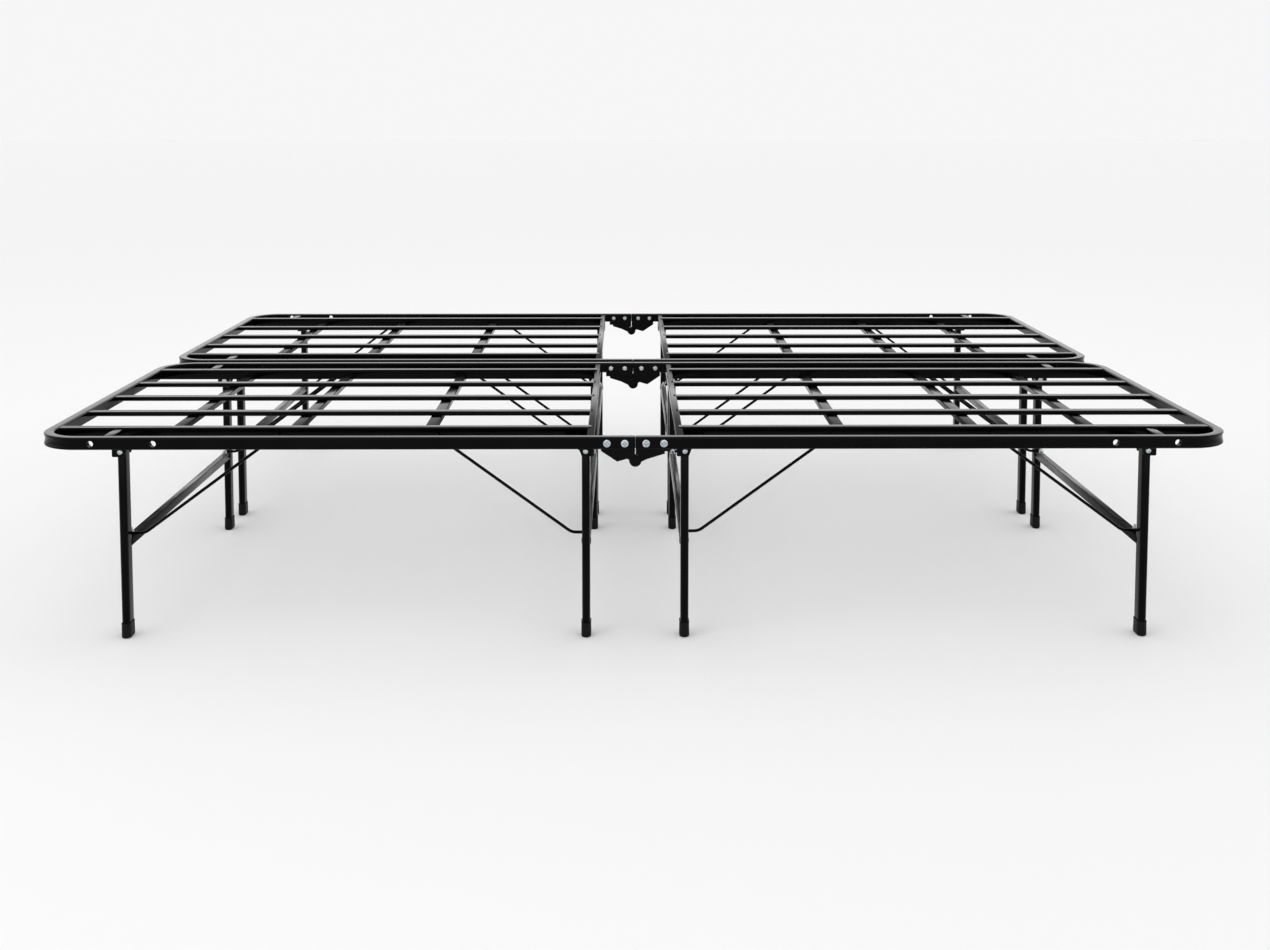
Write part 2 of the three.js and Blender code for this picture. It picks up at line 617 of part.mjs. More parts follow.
for (const unit of UNITS) {
  const unitGroup = new THREE.Group();
  unitGroup.position.y = unit.y;
  bed.add(unitGroup);
  for (const half of HALVES) {
    const prefix = `${unit.name}_${half.name}`;
    addPiece(unitGroup, `${prefix}_rail`, placed(railShape, half), powderCoat);
    addPiece(unitGroup, `${prefix}_slat_grid`, placed(gridShape, half), powderCoat);
    for (const { legSet, frame, foot, wire } of legShapes[half.name]) {
      const legPrefix = `${prefix}_${legSet.name}`;
      addPiece(unitGroup, `${legPrefix}_leg_frame`, placed(frame, half), satinCoat);
      for (const side of SIDES) {
        addPiece(unitGroup, `${legPrefix}_${side.name}_foot`, placed(foot, half, side), blackPlastic);
        addPiece(unitGroup, `${legPrefix}_${side.name}_wire`, placed(wire, half, side), powderCoat);
      }
    }
  }
  // The far hinge is the near one turned half round, so its fixed plate is on the right half.
  const [left, right] = HALVES;
  for (const side of SIDES) {
    const prefix = `${unit.name}_${side.name}_hinge`;
    const turned = side.flip ? left : right;
    addPiece(unitGroup, `${prefix}_fixed_plate`, placed(fixedPlateShape, turned, side), satinCoat);
    addPiece(unitGroup, `${prefix}_moving_plate`, placed(movingPlateShape, turned, side), satinCoat);
    addPiece(unitGroup, `${prefix}_pin`, placed(pinShape, turned, side), zincPlate);
  }
}

export default bed;
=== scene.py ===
"""Folding metal bed frame: smooth tubes, welds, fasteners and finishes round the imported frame."""
import logging
import math
from dataclasses import dataclass, field
from enum import Enum

import bmesh
import bpy
import numpy as np
from mathutils import Euler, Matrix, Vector


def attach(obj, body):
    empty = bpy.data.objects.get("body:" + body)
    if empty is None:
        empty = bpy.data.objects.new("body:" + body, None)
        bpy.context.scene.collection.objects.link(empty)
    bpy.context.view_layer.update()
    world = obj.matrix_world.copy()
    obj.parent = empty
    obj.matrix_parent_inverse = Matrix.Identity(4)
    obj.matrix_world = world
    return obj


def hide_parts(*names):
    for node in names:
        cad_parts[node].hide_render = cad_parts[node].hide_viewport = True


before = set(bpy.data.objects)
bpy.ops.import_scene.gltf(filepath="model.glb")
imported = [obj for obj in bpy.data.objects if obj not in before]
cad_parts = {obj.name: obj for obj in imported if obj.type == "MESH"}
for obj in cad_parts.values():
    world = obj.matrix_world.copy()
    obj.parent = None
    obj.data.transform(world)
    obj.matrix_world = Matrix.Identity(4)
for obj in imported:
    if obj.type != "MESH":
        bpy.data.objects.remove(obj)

LOG = logging.getLogger("bed")
MM = 0.001
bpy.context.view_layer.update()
# An edge is shaded smooth below the first angle, and a face counts as flat below the second.
SMOOTH_BELOW = math.radians(32)
FLAT_BELOW = math.radians(0.5)
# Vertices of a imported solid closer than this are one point.
SAME_POINT = 0.005 * MM
# Where the outlines' end edges take their first step, as a share of the ease.
EASE_STEP = 0.35

Patch = tuple[np.ndarray, list[tuple[int, ...]]]
Place = tuple[float, float, float]
Profile = tuple[tuple[float, float], ...]


class Unit(Enum):
    """The two folding units, with the Y of each one's near side in millimetres."""

    FRONT = -762.0
    REAR = 12.0

    @property
    def label(self) -> str:
        """The name used in node and body names."""
        return self.name.lower()


class Half(Enum):
    """The two halves of a unit, with the sign of X on each."""

    LEFT = -1
    RIGHT = 1

    @property
    def label(self) -> str:
        """The name used in node and body names."""
        return self.name.lower()


class Side(Enum):
    """The two long sides of a unit."""

    NEAR = "near"
    FAR = "far"


class LegSet(Enum):
    """The two leg frames of a half."""

    END = "end"
    MID = "mid"

    @property
    def stop_sign(self) -> int:
        """The sign of X on the side that the legs don't fold to, in a right half."""
        return 1 if self is LegSet.END else -1


# ---- Numbers shared by the sub-assemblies, in millimetres ----


@dataclass(frozen=True)
class BedSizes:
    """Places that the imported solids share, in a right half.

    X runs from the seam, y from the unit's near side and z from the floor. The hidden lap is how
    far one welded part reaches into the next.
    """

    half_length: float = 1016.0
    unit_width: float = 750.0
    deck: float = 356.0
    pivot_z: float = 326.0
    leg_inset: float = 45.0
    leg_x: dict[LegSet, float] = field(
        default_factory=lambda: {LegSet.END: 874.0, LegSet.MID: 84.5})
    wire_x: dict[LegSet, float] = field(
        default_factory=lambda: {LegSet.END: 618.0, LegSet.MID: 343.5})
    wire_inset: dict[Half, float] = field(
        default_factory=lambda: {Half.LEFT: 67.5, Half.RIGHT: 73.9})
    wire_pivot_z: float = 345.0
    leg_bar_top: float = 171.0
    leg_bar_height: float = 16.0
    hidden_lap: float = 0.4


SIZES = BedSizes()


# ---- Colour and materials ----


def linear(hex_colour: str) -> tuple[float, float, float, float]:
    """Turns an sRGB hex colour to linear RGBA.

    Args:
        hex_colour: six hex digits, with or without a leading hash.

    Returns:
        Red, green, blue and an alpha of 1, in linear light.
    """
    digits = hex_colour.lstrip("#")
    channels = [int(digits[i : i + 2], 16) / 255 for i in (0, 2, 4)]
    lit = [c / 12.92 if c <= 0.04045 else ((c + 0.055) / 1.055) ** 2.4 for c in channels]
    return (lit[0], lit[1], lit[2], 1.0)


def add_node(
    tree: bpy.types.NodeTree,
    kind: str,
    settings: dict[str, object] | None = None,
    links: dict[str, bpy.types.NodeSocket] | None = None,
) -> bpy.types.Node:
    """Adds one node, sets it and links its inputs.

    Args:
        tree: the material's node tree.
        kind: the node's type name.
        settings: attribute names or input names, and their values.
        links: input names and the output sockets that feed them.

    Returns:
        The new node.
    """
    node = tree.nodes.new(kind)
    for name, value in (settings or {}).items():
        if hasattr(node, name):
            setattr(node, name, value)
        else:
            node.inputs[name].default_value = value
    for name, socket in (links or {}).items():
        tree.links.new(socket, node.inputs[name])
    return node


def set_ramp(ramp_node: bpy.types.Node, stops: list[tuple[float, tuple[float, ...]]]) -> None:
    """Sets the stops of a new colour ramp, after adding as many as it lacks.

    Args:
        ramp_node: the ramp.
        stops: place and colour of each stop.
    """
    elements = ramp_node.color_ramp.elements
    while len(elements) < len(stops):
        elements.new(0.5)
    for element, (place, colour) in zip(elements, stops):
        element.position = place
        element.color = colour


def per_metre(size_mm: float) -> float:
    """The noise scale whose features are this size, for coordinates in metres."""
    return 1.0 / (size_mm * MM)


@dataclass(frozen=True)
class CoatedFinish:
    """A painted, moulded or plated surface: two colours, a roughness range and a fine relief."""

    name: str
    slot: str
    deep: str
    light: str
    rough_low: float
    rough_high: float
    relief_size_mm: float
    relief_depth_mm: float
    cloud_size_mm: float
    ior: float = 1.5
    metallic: float = 0.0
    specular: float = 0.5

    def material(self) -> bpy.types.Material:
        """Builds the material once, and hands the same one back afterwards.

        A slow noise mixes the two colours and moves the roughness between its two values. A fine
        noise gives the relief.

        Returns:
            The node material.
        """
        found = bpy.data.materials.get(self.name)
        if found is not None:
            return found
        material = bpy.data.materials.new(self.name)
        material.use_nodes = True
        tree = material.node_tree
        tree.nodes.clear()
        place = add_node(tree, "ShaderNodeTexCoord")
        cloud = add_node(
            tree,
            "ShaderNodeTexNoise",
            {"Scale": per_metre(self.cloud_size_mm), "Detail": 4.0, "Roughness": 0.55},
            {"Vector": place.outputs["Object"]},
        )
        relief = add_node(
            tree,
            "ShaderNodeTexNoise",
            {"Scale": per_metre(self.relief_size_mm), "Detail": 2.0, "Roughness": 0.5},
            {"Vector": place.outputs["Object"]},
        )
        colour = add_node(tree, "ShaderNodeValToRGB", {}, {"Fac": cloud.outputs["Fac"]})
        set_ramp(colour, [(0.35, linear(self.deep)), (0.7, linear(self.light))])
        rough = add_node(
            tree,
            "ShaderNodeMapRange",
            {
                "From Min": 0.3,
                "From Max": 0.7,
                "To Min": self.rough_low,
                "To Max": self.rough_high,
            },
            {"Value": cloud.outputs["Fac"]},
        )
        bump = add_node(
            tree,
            "ShaderNodeBump",
            {"Strength": 1.0, "Distance": self.relief_depth_mm * MM},
            {"Height": relief.outputs["Fac"]},
        )
        shader = add_node(
            tree,
            "ShaderNodeBsdfPrincipled",
            {
                "Metallic": self.metallic,
                "IOR": self.ior,
                "Specular IOR Level": self.specular,
            },
            {
                "Base Color": colour.outputs["Color"],
                "Roughness": rough.outputs["Result"],
                "Normal": bump.outputs["Normal"],
            },
        )
        add_node(tree, "ShaderNodeOutputMaterial", {}, {"Surface": shader.outputs["BSDF"]})
        return material


# Sprayed and baked polyester powder on steel tube: near black and glossy, with a soft orange peel,
# drawn at 3 mm so that it shows.
GLOSS_POWDER = CoatedFinish(
    name="gloss_black_powder_coat",
    slot="powder_coat",
    deep="#020202",
    light="#050506",
    rough_low=0.13,
    rough_high=0.2,
    relief_size_mm=3.0,
    relief_depth_mm=0.004,
    cloud_size_mm=60.0,
    specular=0.06,
)
# The same powder on stamped plates, whose rougher steel makes the bake a little duller.
SATIN_POWDER = CoatedFinish(
    name="satin_black_powder_coat",
    slot="hinge_coat",
    deep="#030303",
    light="#070708",
    rough_low=0.26,
    rough_high=0.36,
    relief_size_mm=2.4,
    relief_depth_mm=0.006,
    cloud_size_mm=45.0,
    specular=0.07,
)
# Injection-moulded polyethylene with a fine spark-eroded grain, drawn at 1.2 mm so that it shows.
MOULDED_PLASTIC = CoatedFinish(
    name="moulded_black_polyethylene",
    slot="black_plastic",
    deep="#070707",
    light="#0d0d0e",
    rough_low=0.46,
    rough_high=0.58,
    relief_size_mm=1.2,
    relief_depth_mm=0.03,
    cloud_size_mm=18.0,
    specular=0.12,
)
# Bright zinc electroplate on cold-headed steel: pale grey metal with faint cloudy patches.
ZINC_PLATE = CoatedFinish(
    name="bright_zinc_plated_steel",
    slot="zinc",
    deep="#a3a9ad",
    light="#d6dadb",
    rough_low=0.16,
    rough_high=0.3,
    relief_size_mm=0.9,
    relief_depth_mm=0.006,
    cloud_size_mm=4.0,
    metallic=1.0,
)


# ---- Surfaces worked out on grids ----


def grid_patch(points: np.ndarray) -> Patch:
    """Joins rings of points to a tube, with a flat face at each end.

    Vertex (i, j) is ring i, place j. Face (i, j) joins rings i and i + 1 between places j and
    j + 1, and the last place joins the first.

    Args:
        points: array of rings, places and coordinates.

    Returns:
        Vertices and faces.
    """
    rings, places, _ = points.shape
    i, j = np.meshgrid(np.arange(rings - 1), np.arange(places), indexing="ij")
    ahead = (j + 1) % places
    corners = [i * places + j, i * places + ahead, (i + 1) * places + ahead, (i + 1) * places + j]
    quads = np.stack(corners, axis=-1).reshape(-1, 4)
    faces = [tuple(face) for face in quads.tolist()]
    faces.append(tuple(range(places - 1, -1, -1)))
    last = (rings - 1) * places
    faces.append(tuple(range(last, last + places)))
    return points.reshape(-1, 3), faces


def unit_circle(places: int) -> np.ndarray:
    """Points once round a circle of radius 1: the cosine and the sine of equal angles.

    Args:
        places: number of points.

    Returns:
        Array of places and two coordinates.
    """
    angle = np.linspace(0, 2 * np.pi, places, endpoint=False)
    return np.stack([np.cos(angle), np.sin(angle)], axis=-1)


def rounded_rectangle(width: float, height: float, radius: float, steps: int = 5) -> np.ndarray:
    """Outline of a rectangle with round corners, anticlockwise.

    Each corner is a quarter circle about a point that is a radius in from both sides.

    Args:
        width: size along the first axis.
        height: size along the second axis.
        radius: corner radius.
        steps: straight pieces in each corner.

    Returns:
        Array of places and two coordinates.
    """
    turn = np.linspace(0, np.pi / 2, steps + 1)
    corner = np.arange(4)[:, None]
    angle = corner * np.pi / 2 + turn[None, :]
    signs_x = np.array([1, -1, -1, 1])[:, None]
    signs_y = np.array([1, 1, -1, -1])[:, None]
    x = signs_x * (width / 2 - radius) + radius * np.cos(angle)
    y = signs_y * (height / 2 - radius) + radius * np.sin(angle)
    return np.stack([x.ravel(), y.ravel()], axis=-1)


def flat_oval(thickness: float, depth: float, steps: int) -> np.ndarray:
    """Outline of a flat oval: a rectangle whose corners take up all but a hair of its thickness.

    Args:
        thickness: size along the first axis.
        depth: size along the second axis.
        steps: straight pieces in each corner.

    Returns:
        Array of places and two coordinates.
    """
    hair = 0.01
    return rounded_rectangle(thickness, depth, thickness / 2 - hair, steps)


def axis_frame(axis: Place) -> tuple[np.ndarray, np.ndarray, np.ndarray]:
    """Three unit directions, square to each other, of which the first is the axis.

    The second is the cross product of Z and the axis, or of X and the axis where the axis is near
    Z. The third is the cross product of the first and the second.

    Args:
        axis: unit direction.

    Returns:
        The axis, the side direction and the up direction.
    """
    ahead = np.array(axis, float)
    near_z = abs(ahead[2]) >= 0.9
    side = np.cross((1.0, 0.0, 0.0) if near_z else (0.0, 0.0, 1.0), ahead)
    side /= np.linalg.norm(side)
    return ahead, side, np.cross(ahead, side)


def carried(
    outline: np.ndarray,
    centres: np.ndarray,
    sides: np.ndarray | Place,
    ups: np.ndarray | Place,
    swell: np.ndarray | None = None,
) -> Patch:
    """Carries an outline along a path.

    A point is the centre plus its first number times the side direction plus its second times the
    up direction, both multiplied by the swell at that station.

    Args:
        outline: places and two coordinates, or stations, places and two coordinates.
        centres: stations and coordinates.
        sides: side direction of the whole path or of each station.
        ups: up direction of the whole path or of each station.
        swell: size factor at each station.

    Returns:
        A closed tube.
    """
    shapes = np.broadcast_to(outline, (len(centres), *outline.shape[-2:]))
    scale = np.ones(len(centres)) if swell is None else swell
    shapes = shapes * scale[:, None, None]
    side, up = (np.broadcast_to(way, centres.shape)[:, None, :] for way in (sides, ups))
    return grid_patch(centres[:, None, :] + shapes[:, :, :1] * side + shapes[:, :, 1:] * up)


def straight_bar(
    start: Place,
    end: Place,
    outline: np.ndarray,
    up: Place = (0.0, 0.0, 1.0),
    ease: float = 0.6,
) -> Patch:
    """Carries an outline along a straight line, with its two end edges eased.

    Over the last stretch at each end, as long as the ease, the outline shrinks by the ease in two
    steps, the outer one steeper.

    Args:
        start: first point.
        end: last point.
        outline: section, as side and up distances.
        up: direction of the outline's second axis.
        ease: size of the end's chamfer.

    Returns:
        A closed bar.
    """
    first, last = np.array(start, float), np.array(end, float)
    length = np.linalg.norm(last - first)
    ahead = (last - first) / length
    step = ease * EASE_STEP
    along = np.array([0, step, ease, length - ease, length - step, length])
    inset = 1 - np.array([ease, step, 0, 0, step, ease]) / np.abs(outline).max()
    centres = first + along[:, None] * ahead
    return carried(outline, centres, np.cross(up, ahead), up, inset)


def turned(profile: Profile, base: Place, axis: Place, sides: int = 28) -> Patch:
    """Turns a profile round an axis.

    A point is the base plus the profile's height along the axis plus its radius times a unit
    vector that goes once round the axis.

    Args:
        profile: stations, each a radius and a height.
        base: point on the axis at height zero.
        axis: unit direction of the axis.
        sides: places round the axis.

    Returns:
        A closed solid with flat ends.
    """
    stations = np.array(profile, float)
    ahead, side, upward = axis_frame(axis)
    centres = np.array(base, float) + stations[:, 1:] * ahead
    return carried(unit_circle(sides), centres, side, upward, stations[:, 0])


def hexagon_solid(across: float, height: float, base: Place, axis: Place, stud: float) -> Patch:
    """A nut with chamfered corners, and the end of the bolt that stands proud of it.

    At each angle the radius is the smaller of the hexagon's edge and a limit for that level. There
    is no limit up to the chamfer, then a cone, and then the bolt's radius.

    Args:
        across: width across the flats.
        height: height of the nut.
        base: middle of its seat.
        axis: unit direction out of the seat.
        stud: radius of the bolt's end.

    Returns:
        A closed solid.
    """
    # Each level is a share of the nut's height and the largest radius there.
    levels = np.array([
        (0.0, np.inf), (0.72, np.inf), (0.9, across * 0.54), (1.0, across * 0.48),
        (1.0, stud), (1.35, stud), (1.45, stud * 0.8)])
    places = 36
    angle = np.linspace(0, 2 * np.pi, places, endpoint=False)
    wedge = (angle + np.pi / 6) % (np.pi / 3) - np.pi / 6
    edge = across / 2 / np.cos(wedge)
    radius = np.minimum(edge[None, :], levels[:, 1:])
    ahead, side, upward = axis_frame(axis)
    centres = np.array(base, float) + levels[:, :1] * height * ahead
    return carried(radius[..., None] * unit_circle(places), centres, side, upward)


def slot_share(across: np.ndarray, along: np.ndarray, radius: float) -> np.ndarray:
    """How far each point of a screw head is inside one slot of its cross, from 0 to 1.

    It is the product of two ramps, one over each edge of the slot. Each ramp is as wide as the
    slot's soft edge.

    Args:
        across: distance from the slot's middle line.
        along: distance from the head's middle, along the slot.
        radius: head radius.

    Returns:
        The share at each point.
    """
    half_width, reach, soft = radius * 0.17, radius * 0.66, radius * 0.06
    between = np.clip((half_width - np.abs(across)) / soft + 0.5, 0, 1)
    before_end = np.clip((reach - np.abs(along)) / soft + 0.5, 0, 1)
    return between * before_end


def cross_head(radius: float, height: float, base: Place, axis: Place) -> Patch:
    """A pan head with a cross recess.

    The rim is three rings, and the top is a flattened dome. Inside the cross the height drops by
    four fifths of the head, times the larger of the two slots' shares.

    Args:
        radius: head radius.
        height: head height.
        base: middle of its seat.
        axis: unit direction out of the seat.

    Returns:
        A closed solid.
    """
    rings, places = 26, 72
    rim_radii, rim_heights = [1.0, 1.0, 0.97], [0.0, 0.55, 0.72]
    dome_edge, dome_rise, dome_power, recess_depth = 0.93, 0.2, 2.4, 0.8
    dome_radii = np.linspace(dome_edge, 0.03, rings)
    dome_heights = (1 - dome_rise) + dome_rise * (1 - (dome_radii / dome_edge) ** dome_power)
    r = np.concatenate([rim_radii, dome_radii])[:, None] * radius
    angle = np.linspace(0, 2 * np.pi, places, endpoint=False)
    x, y = r * np.cos(angle), r * np.sin(angle)
    sink = np.maximum(slot_share(x, y, radius), slot_share(y, x, radius)) * height * recess_depth
    sink[: len(rim_radii)] = 0
    ahead, side, upward = axis_frame(axis)
    up = np.concatenate([rim_heights, dome_heights])[:, None] * height - sink
    points = x[..., None] * side + y[..., None] * upward + up[..., None] * ahead
    return grid_patch(np.array(base, float) + points)


def weld_bead(start: Place, end: Place, radius: float) -> Patch:
    """A weld bead: a round bar that swells with each ripple and closes at its two ends.

    The radius at share s of the length is the full radius, times a flattened half sine of s, times
    one plus a small sine of s and the ripple count.

    Args:
        start: first point.
        end: last point.
        radius: largest radius.

    Returns:
        A closed bead.
    """
    ripple_pitch, ripple_height, ripple_stations, sides = 3.2, 0.14, 4, 8
    end_share, flattening = 0.02, 0.35
    first, last = np.array(start, float), np.array(end, float)
    length = np.linalg.norm(last - first)
    ripples = max(int(length / ripple_pitch), 2)
    share = np.linspace(0, 1, ripples * ripple_stations + 1)
    closing = np.clip(np.sin(np.pi * share), end_share, 1) ** flattening
    swell = radius * closing * (1 + ripple_height * np.sin(2 * np.pi * ripples * share))
    _, side, upward = axis_frame((last - first) / length)
    centres = first + share[:, None] * (last - first)
    return carried(unit_circle(sides), centres, side, upward, swell)


def plate_patch(outline: np.ndarray, y0: float, y1: float, ease: float = 0.35) -> Patch:
    """A flat plate in the XZ plane, with eased edges.

    The outline shrinks towards its middle by the ease on both faces.

    Args:
        outline: X and Z of each corner.
        y0: near face.
        y1: far face.
        ease: size of the eased edge.

    Returns:
        A closed plate.
    """
    middle = outline.mean(axis=0)
    centred = outline - middle
    reach = np.abs(centred).max()
    depth = np.array([y1, y1 - ease, y0 + ease, y0])
    swell = np.array([1 - ease / reach, 1, 1, 1 - ease / reach])
    centres = np.stack([np.full(4, middle[0]), depth, np.full(4, middle[1])], axis=-1)
    return carried(centred, centres, (1.0, 0.0, 0.0), (0.0, 0.0, 1.0), swell)


def merged(patches: list[Patch]) -> Patch:
    """Puts several patches in one list of vertices and faces.

    Args:
        patches: vertices and faces of each.

    Returns:
        One patch.
    """
    starts = np.cumsum([0] + [len(points) for points, _ in patches])
    faces = [tuple(v + int(s) for v in face) for s, (_, fs) in zip(starts, patches) for face in fs]
    return np.concatenate([points for points, _ in patches]), faces


def mirrored(patch: Patch) -> Patch:
    """The same patch on the far side of its unit, mirrored in y.

    Args:
        patch: vertices and faces on the near side.

    Returns:
        The far patch.
    """
    points = patch[0] * (1, -1, 1) + (0, SIZES.unit_width, 0)
    return points, [face[::-1] for face in patch[1]]


def both_sides(patch: Patch) -> Patch:
    """A near-side patch together with its mirror image on the far side."""
    return merged([patch, mirrored(patch)])


# ---- Making and finishing objects ----


@dataclass(frozen=True)
class Quarter:
    """One half of one unit: where its pieces go, and what their names start with."""

    unit: Unit
    half: Half

    @property
    def prefix(self) -> str:
        """The start of its names."""
        return f"{self.unit.label}_{self.half.label}"

    @property
    def panel(self) -> str:
        """The body of its rail and slats."""
        return f"{self.prefix}_panel"

    def place(self, patch: Patch) -> Patch:
        """Moves a right-half patch here.

        X is multiplied by the half's sign, and the unit's start is added to y. A left half's faces
        run the other way round.

        Args:
            patch: vertices in millimetres, and faces.

        Returns:
            The patch in the bed's own frame, in metres.
        """
        points = (patch[0] * (self.half.value, 1, 1) + (0, self.unit.value, 0)) * MM
        return points, patch[1] if self.half is Half.RIGHT else [face[::-1] for face in patch[1]]


def face_outwards(mesh: bpy.types.Mesh) -> None:
    """Turns every closed shell of a mesh to face outwards.

    Args:
        mesh: the mesh to change.
    """
    shell = bmesh.new()
    shell.from_mesh(mesh)
    bmesh.ops.recalc_face_normals(shell, faces=shell.faces)
    shell.to_mesh(mesh)
    shell.free()
    mesh.update()


def shade(mesh: bpy.types.Mesh) -> None:
    """Shades a mesh smooth, apart from its sharp edges.

    Args:
        mesh: the mesh to change.
    """
    mesh.polygons.foreach_set("use_smooth", np.ones(len(mesh.polygons), dtype=bool))
    mesh.set_sharp_from_angle(angle=SMOOTH_BELOW)


def build_piece(
    name: str, patch: Patch, finish: CoatedFinish, body: str, replaces: str = ""
) -> bpy.types.Object:
    """Makes a mesh object, gives it its finish and sets the body that it moves with.

    Args:
        name: the piece's name.
        patch: vertices in metres, and faces.
        finish: its finish.
        body: the body that it rides on.
        replaces: the CAD node that it stands for, if any.

    Returns:
        The new object.
    """
    mesh = bpy.data.meshes.new(name)
    mesh.from_pydata(patch[0].tolist(), [], patch[1])
    mesh.validate()
    # The outlines run either way round, so each closed shell is turned to face outwards.
    face_outwards(mesh)
    shade(mesh)
    piece = bpy.data.objects.new(name, mesh)
    bpy.context.scene.collection.objects.link(piece)
    mesh.materials.append(finish.material())
    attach(piece, body)
    if replaces:
        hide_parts(replaces)
    LOG.info("%s: %d faces on %s", name, len(mesh.polygons), body)
    return piece


def merged_copy(mesh: bpy.types.Mesh) -> Patch:
    """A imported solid's mesh with its doubled vertices joined and its flat faces whole again.

    Args:
        mesh: loose triangles.

    Returns:
        Vertices in metres, and faces.
    """
    shell = bmesh.new()
    shell.from_mesh(mesh)
    bmesh.ops.remove_doubles(shell, verts=shell.verts, dist=SAME_POINT)
    bmesh.ops.dissolve_limit(
        shell, angle_limit=FLAT_BELOW, verts=shell.verts, edges=shell.edges)
    shell.verts.index_update()
    points = np.array([v.co[:] for v in shell.verts])
    faces = [tuple(v.index for v in face.verts) for face in shell.faces]
    shell.free()
    return points, faces


def cut_holes(piece: bpy.types.Object, tools: Patch) -> None:
    """Cuts closed tools out of a piece and keeps the result as its mesh.

    Args:
        piece: the piece to cut.
        tools: the tools' vertices and faces, in metres.
    """
    mesh = bpy.data.meshes.new("cut_tools")
    mesh.from_pydata(tools[0].tolist(), [], tools[1])
    face_outwards(mesh)
    tool = bpy.data.objects.new("cut_tools", mesh)
    bpy.context.scene.collection.objects.link(tool)
    cut = piece.modifiers.new("holes", "BOOLEAN")
    cut.object = tool
    cut.operation = "DIFFERENCE"
    cut.solver = "EXACT"
    ready = piece.evaluated_get(bpy.context.evaluated_depsgraph_get())
    result = bpy.data.meshes.new_from_object(ready)
    piece.modifiers.clear()
    old = piece.data
    result.name = old.name + "_cut"
    piece.data = result
    result.materials.clear()
    result.materials.append(old.materials[0])
    one_slot = np.zeros(len(result.polygons), dtype=np.int32)
    result.polygons.foreach_set("material_index", one_slot)
    shade(result)
    bpy.data.objects.remove(tool)
    bpy.data.meshes.remove(mesh)


# ---- Sub-assemblies ----


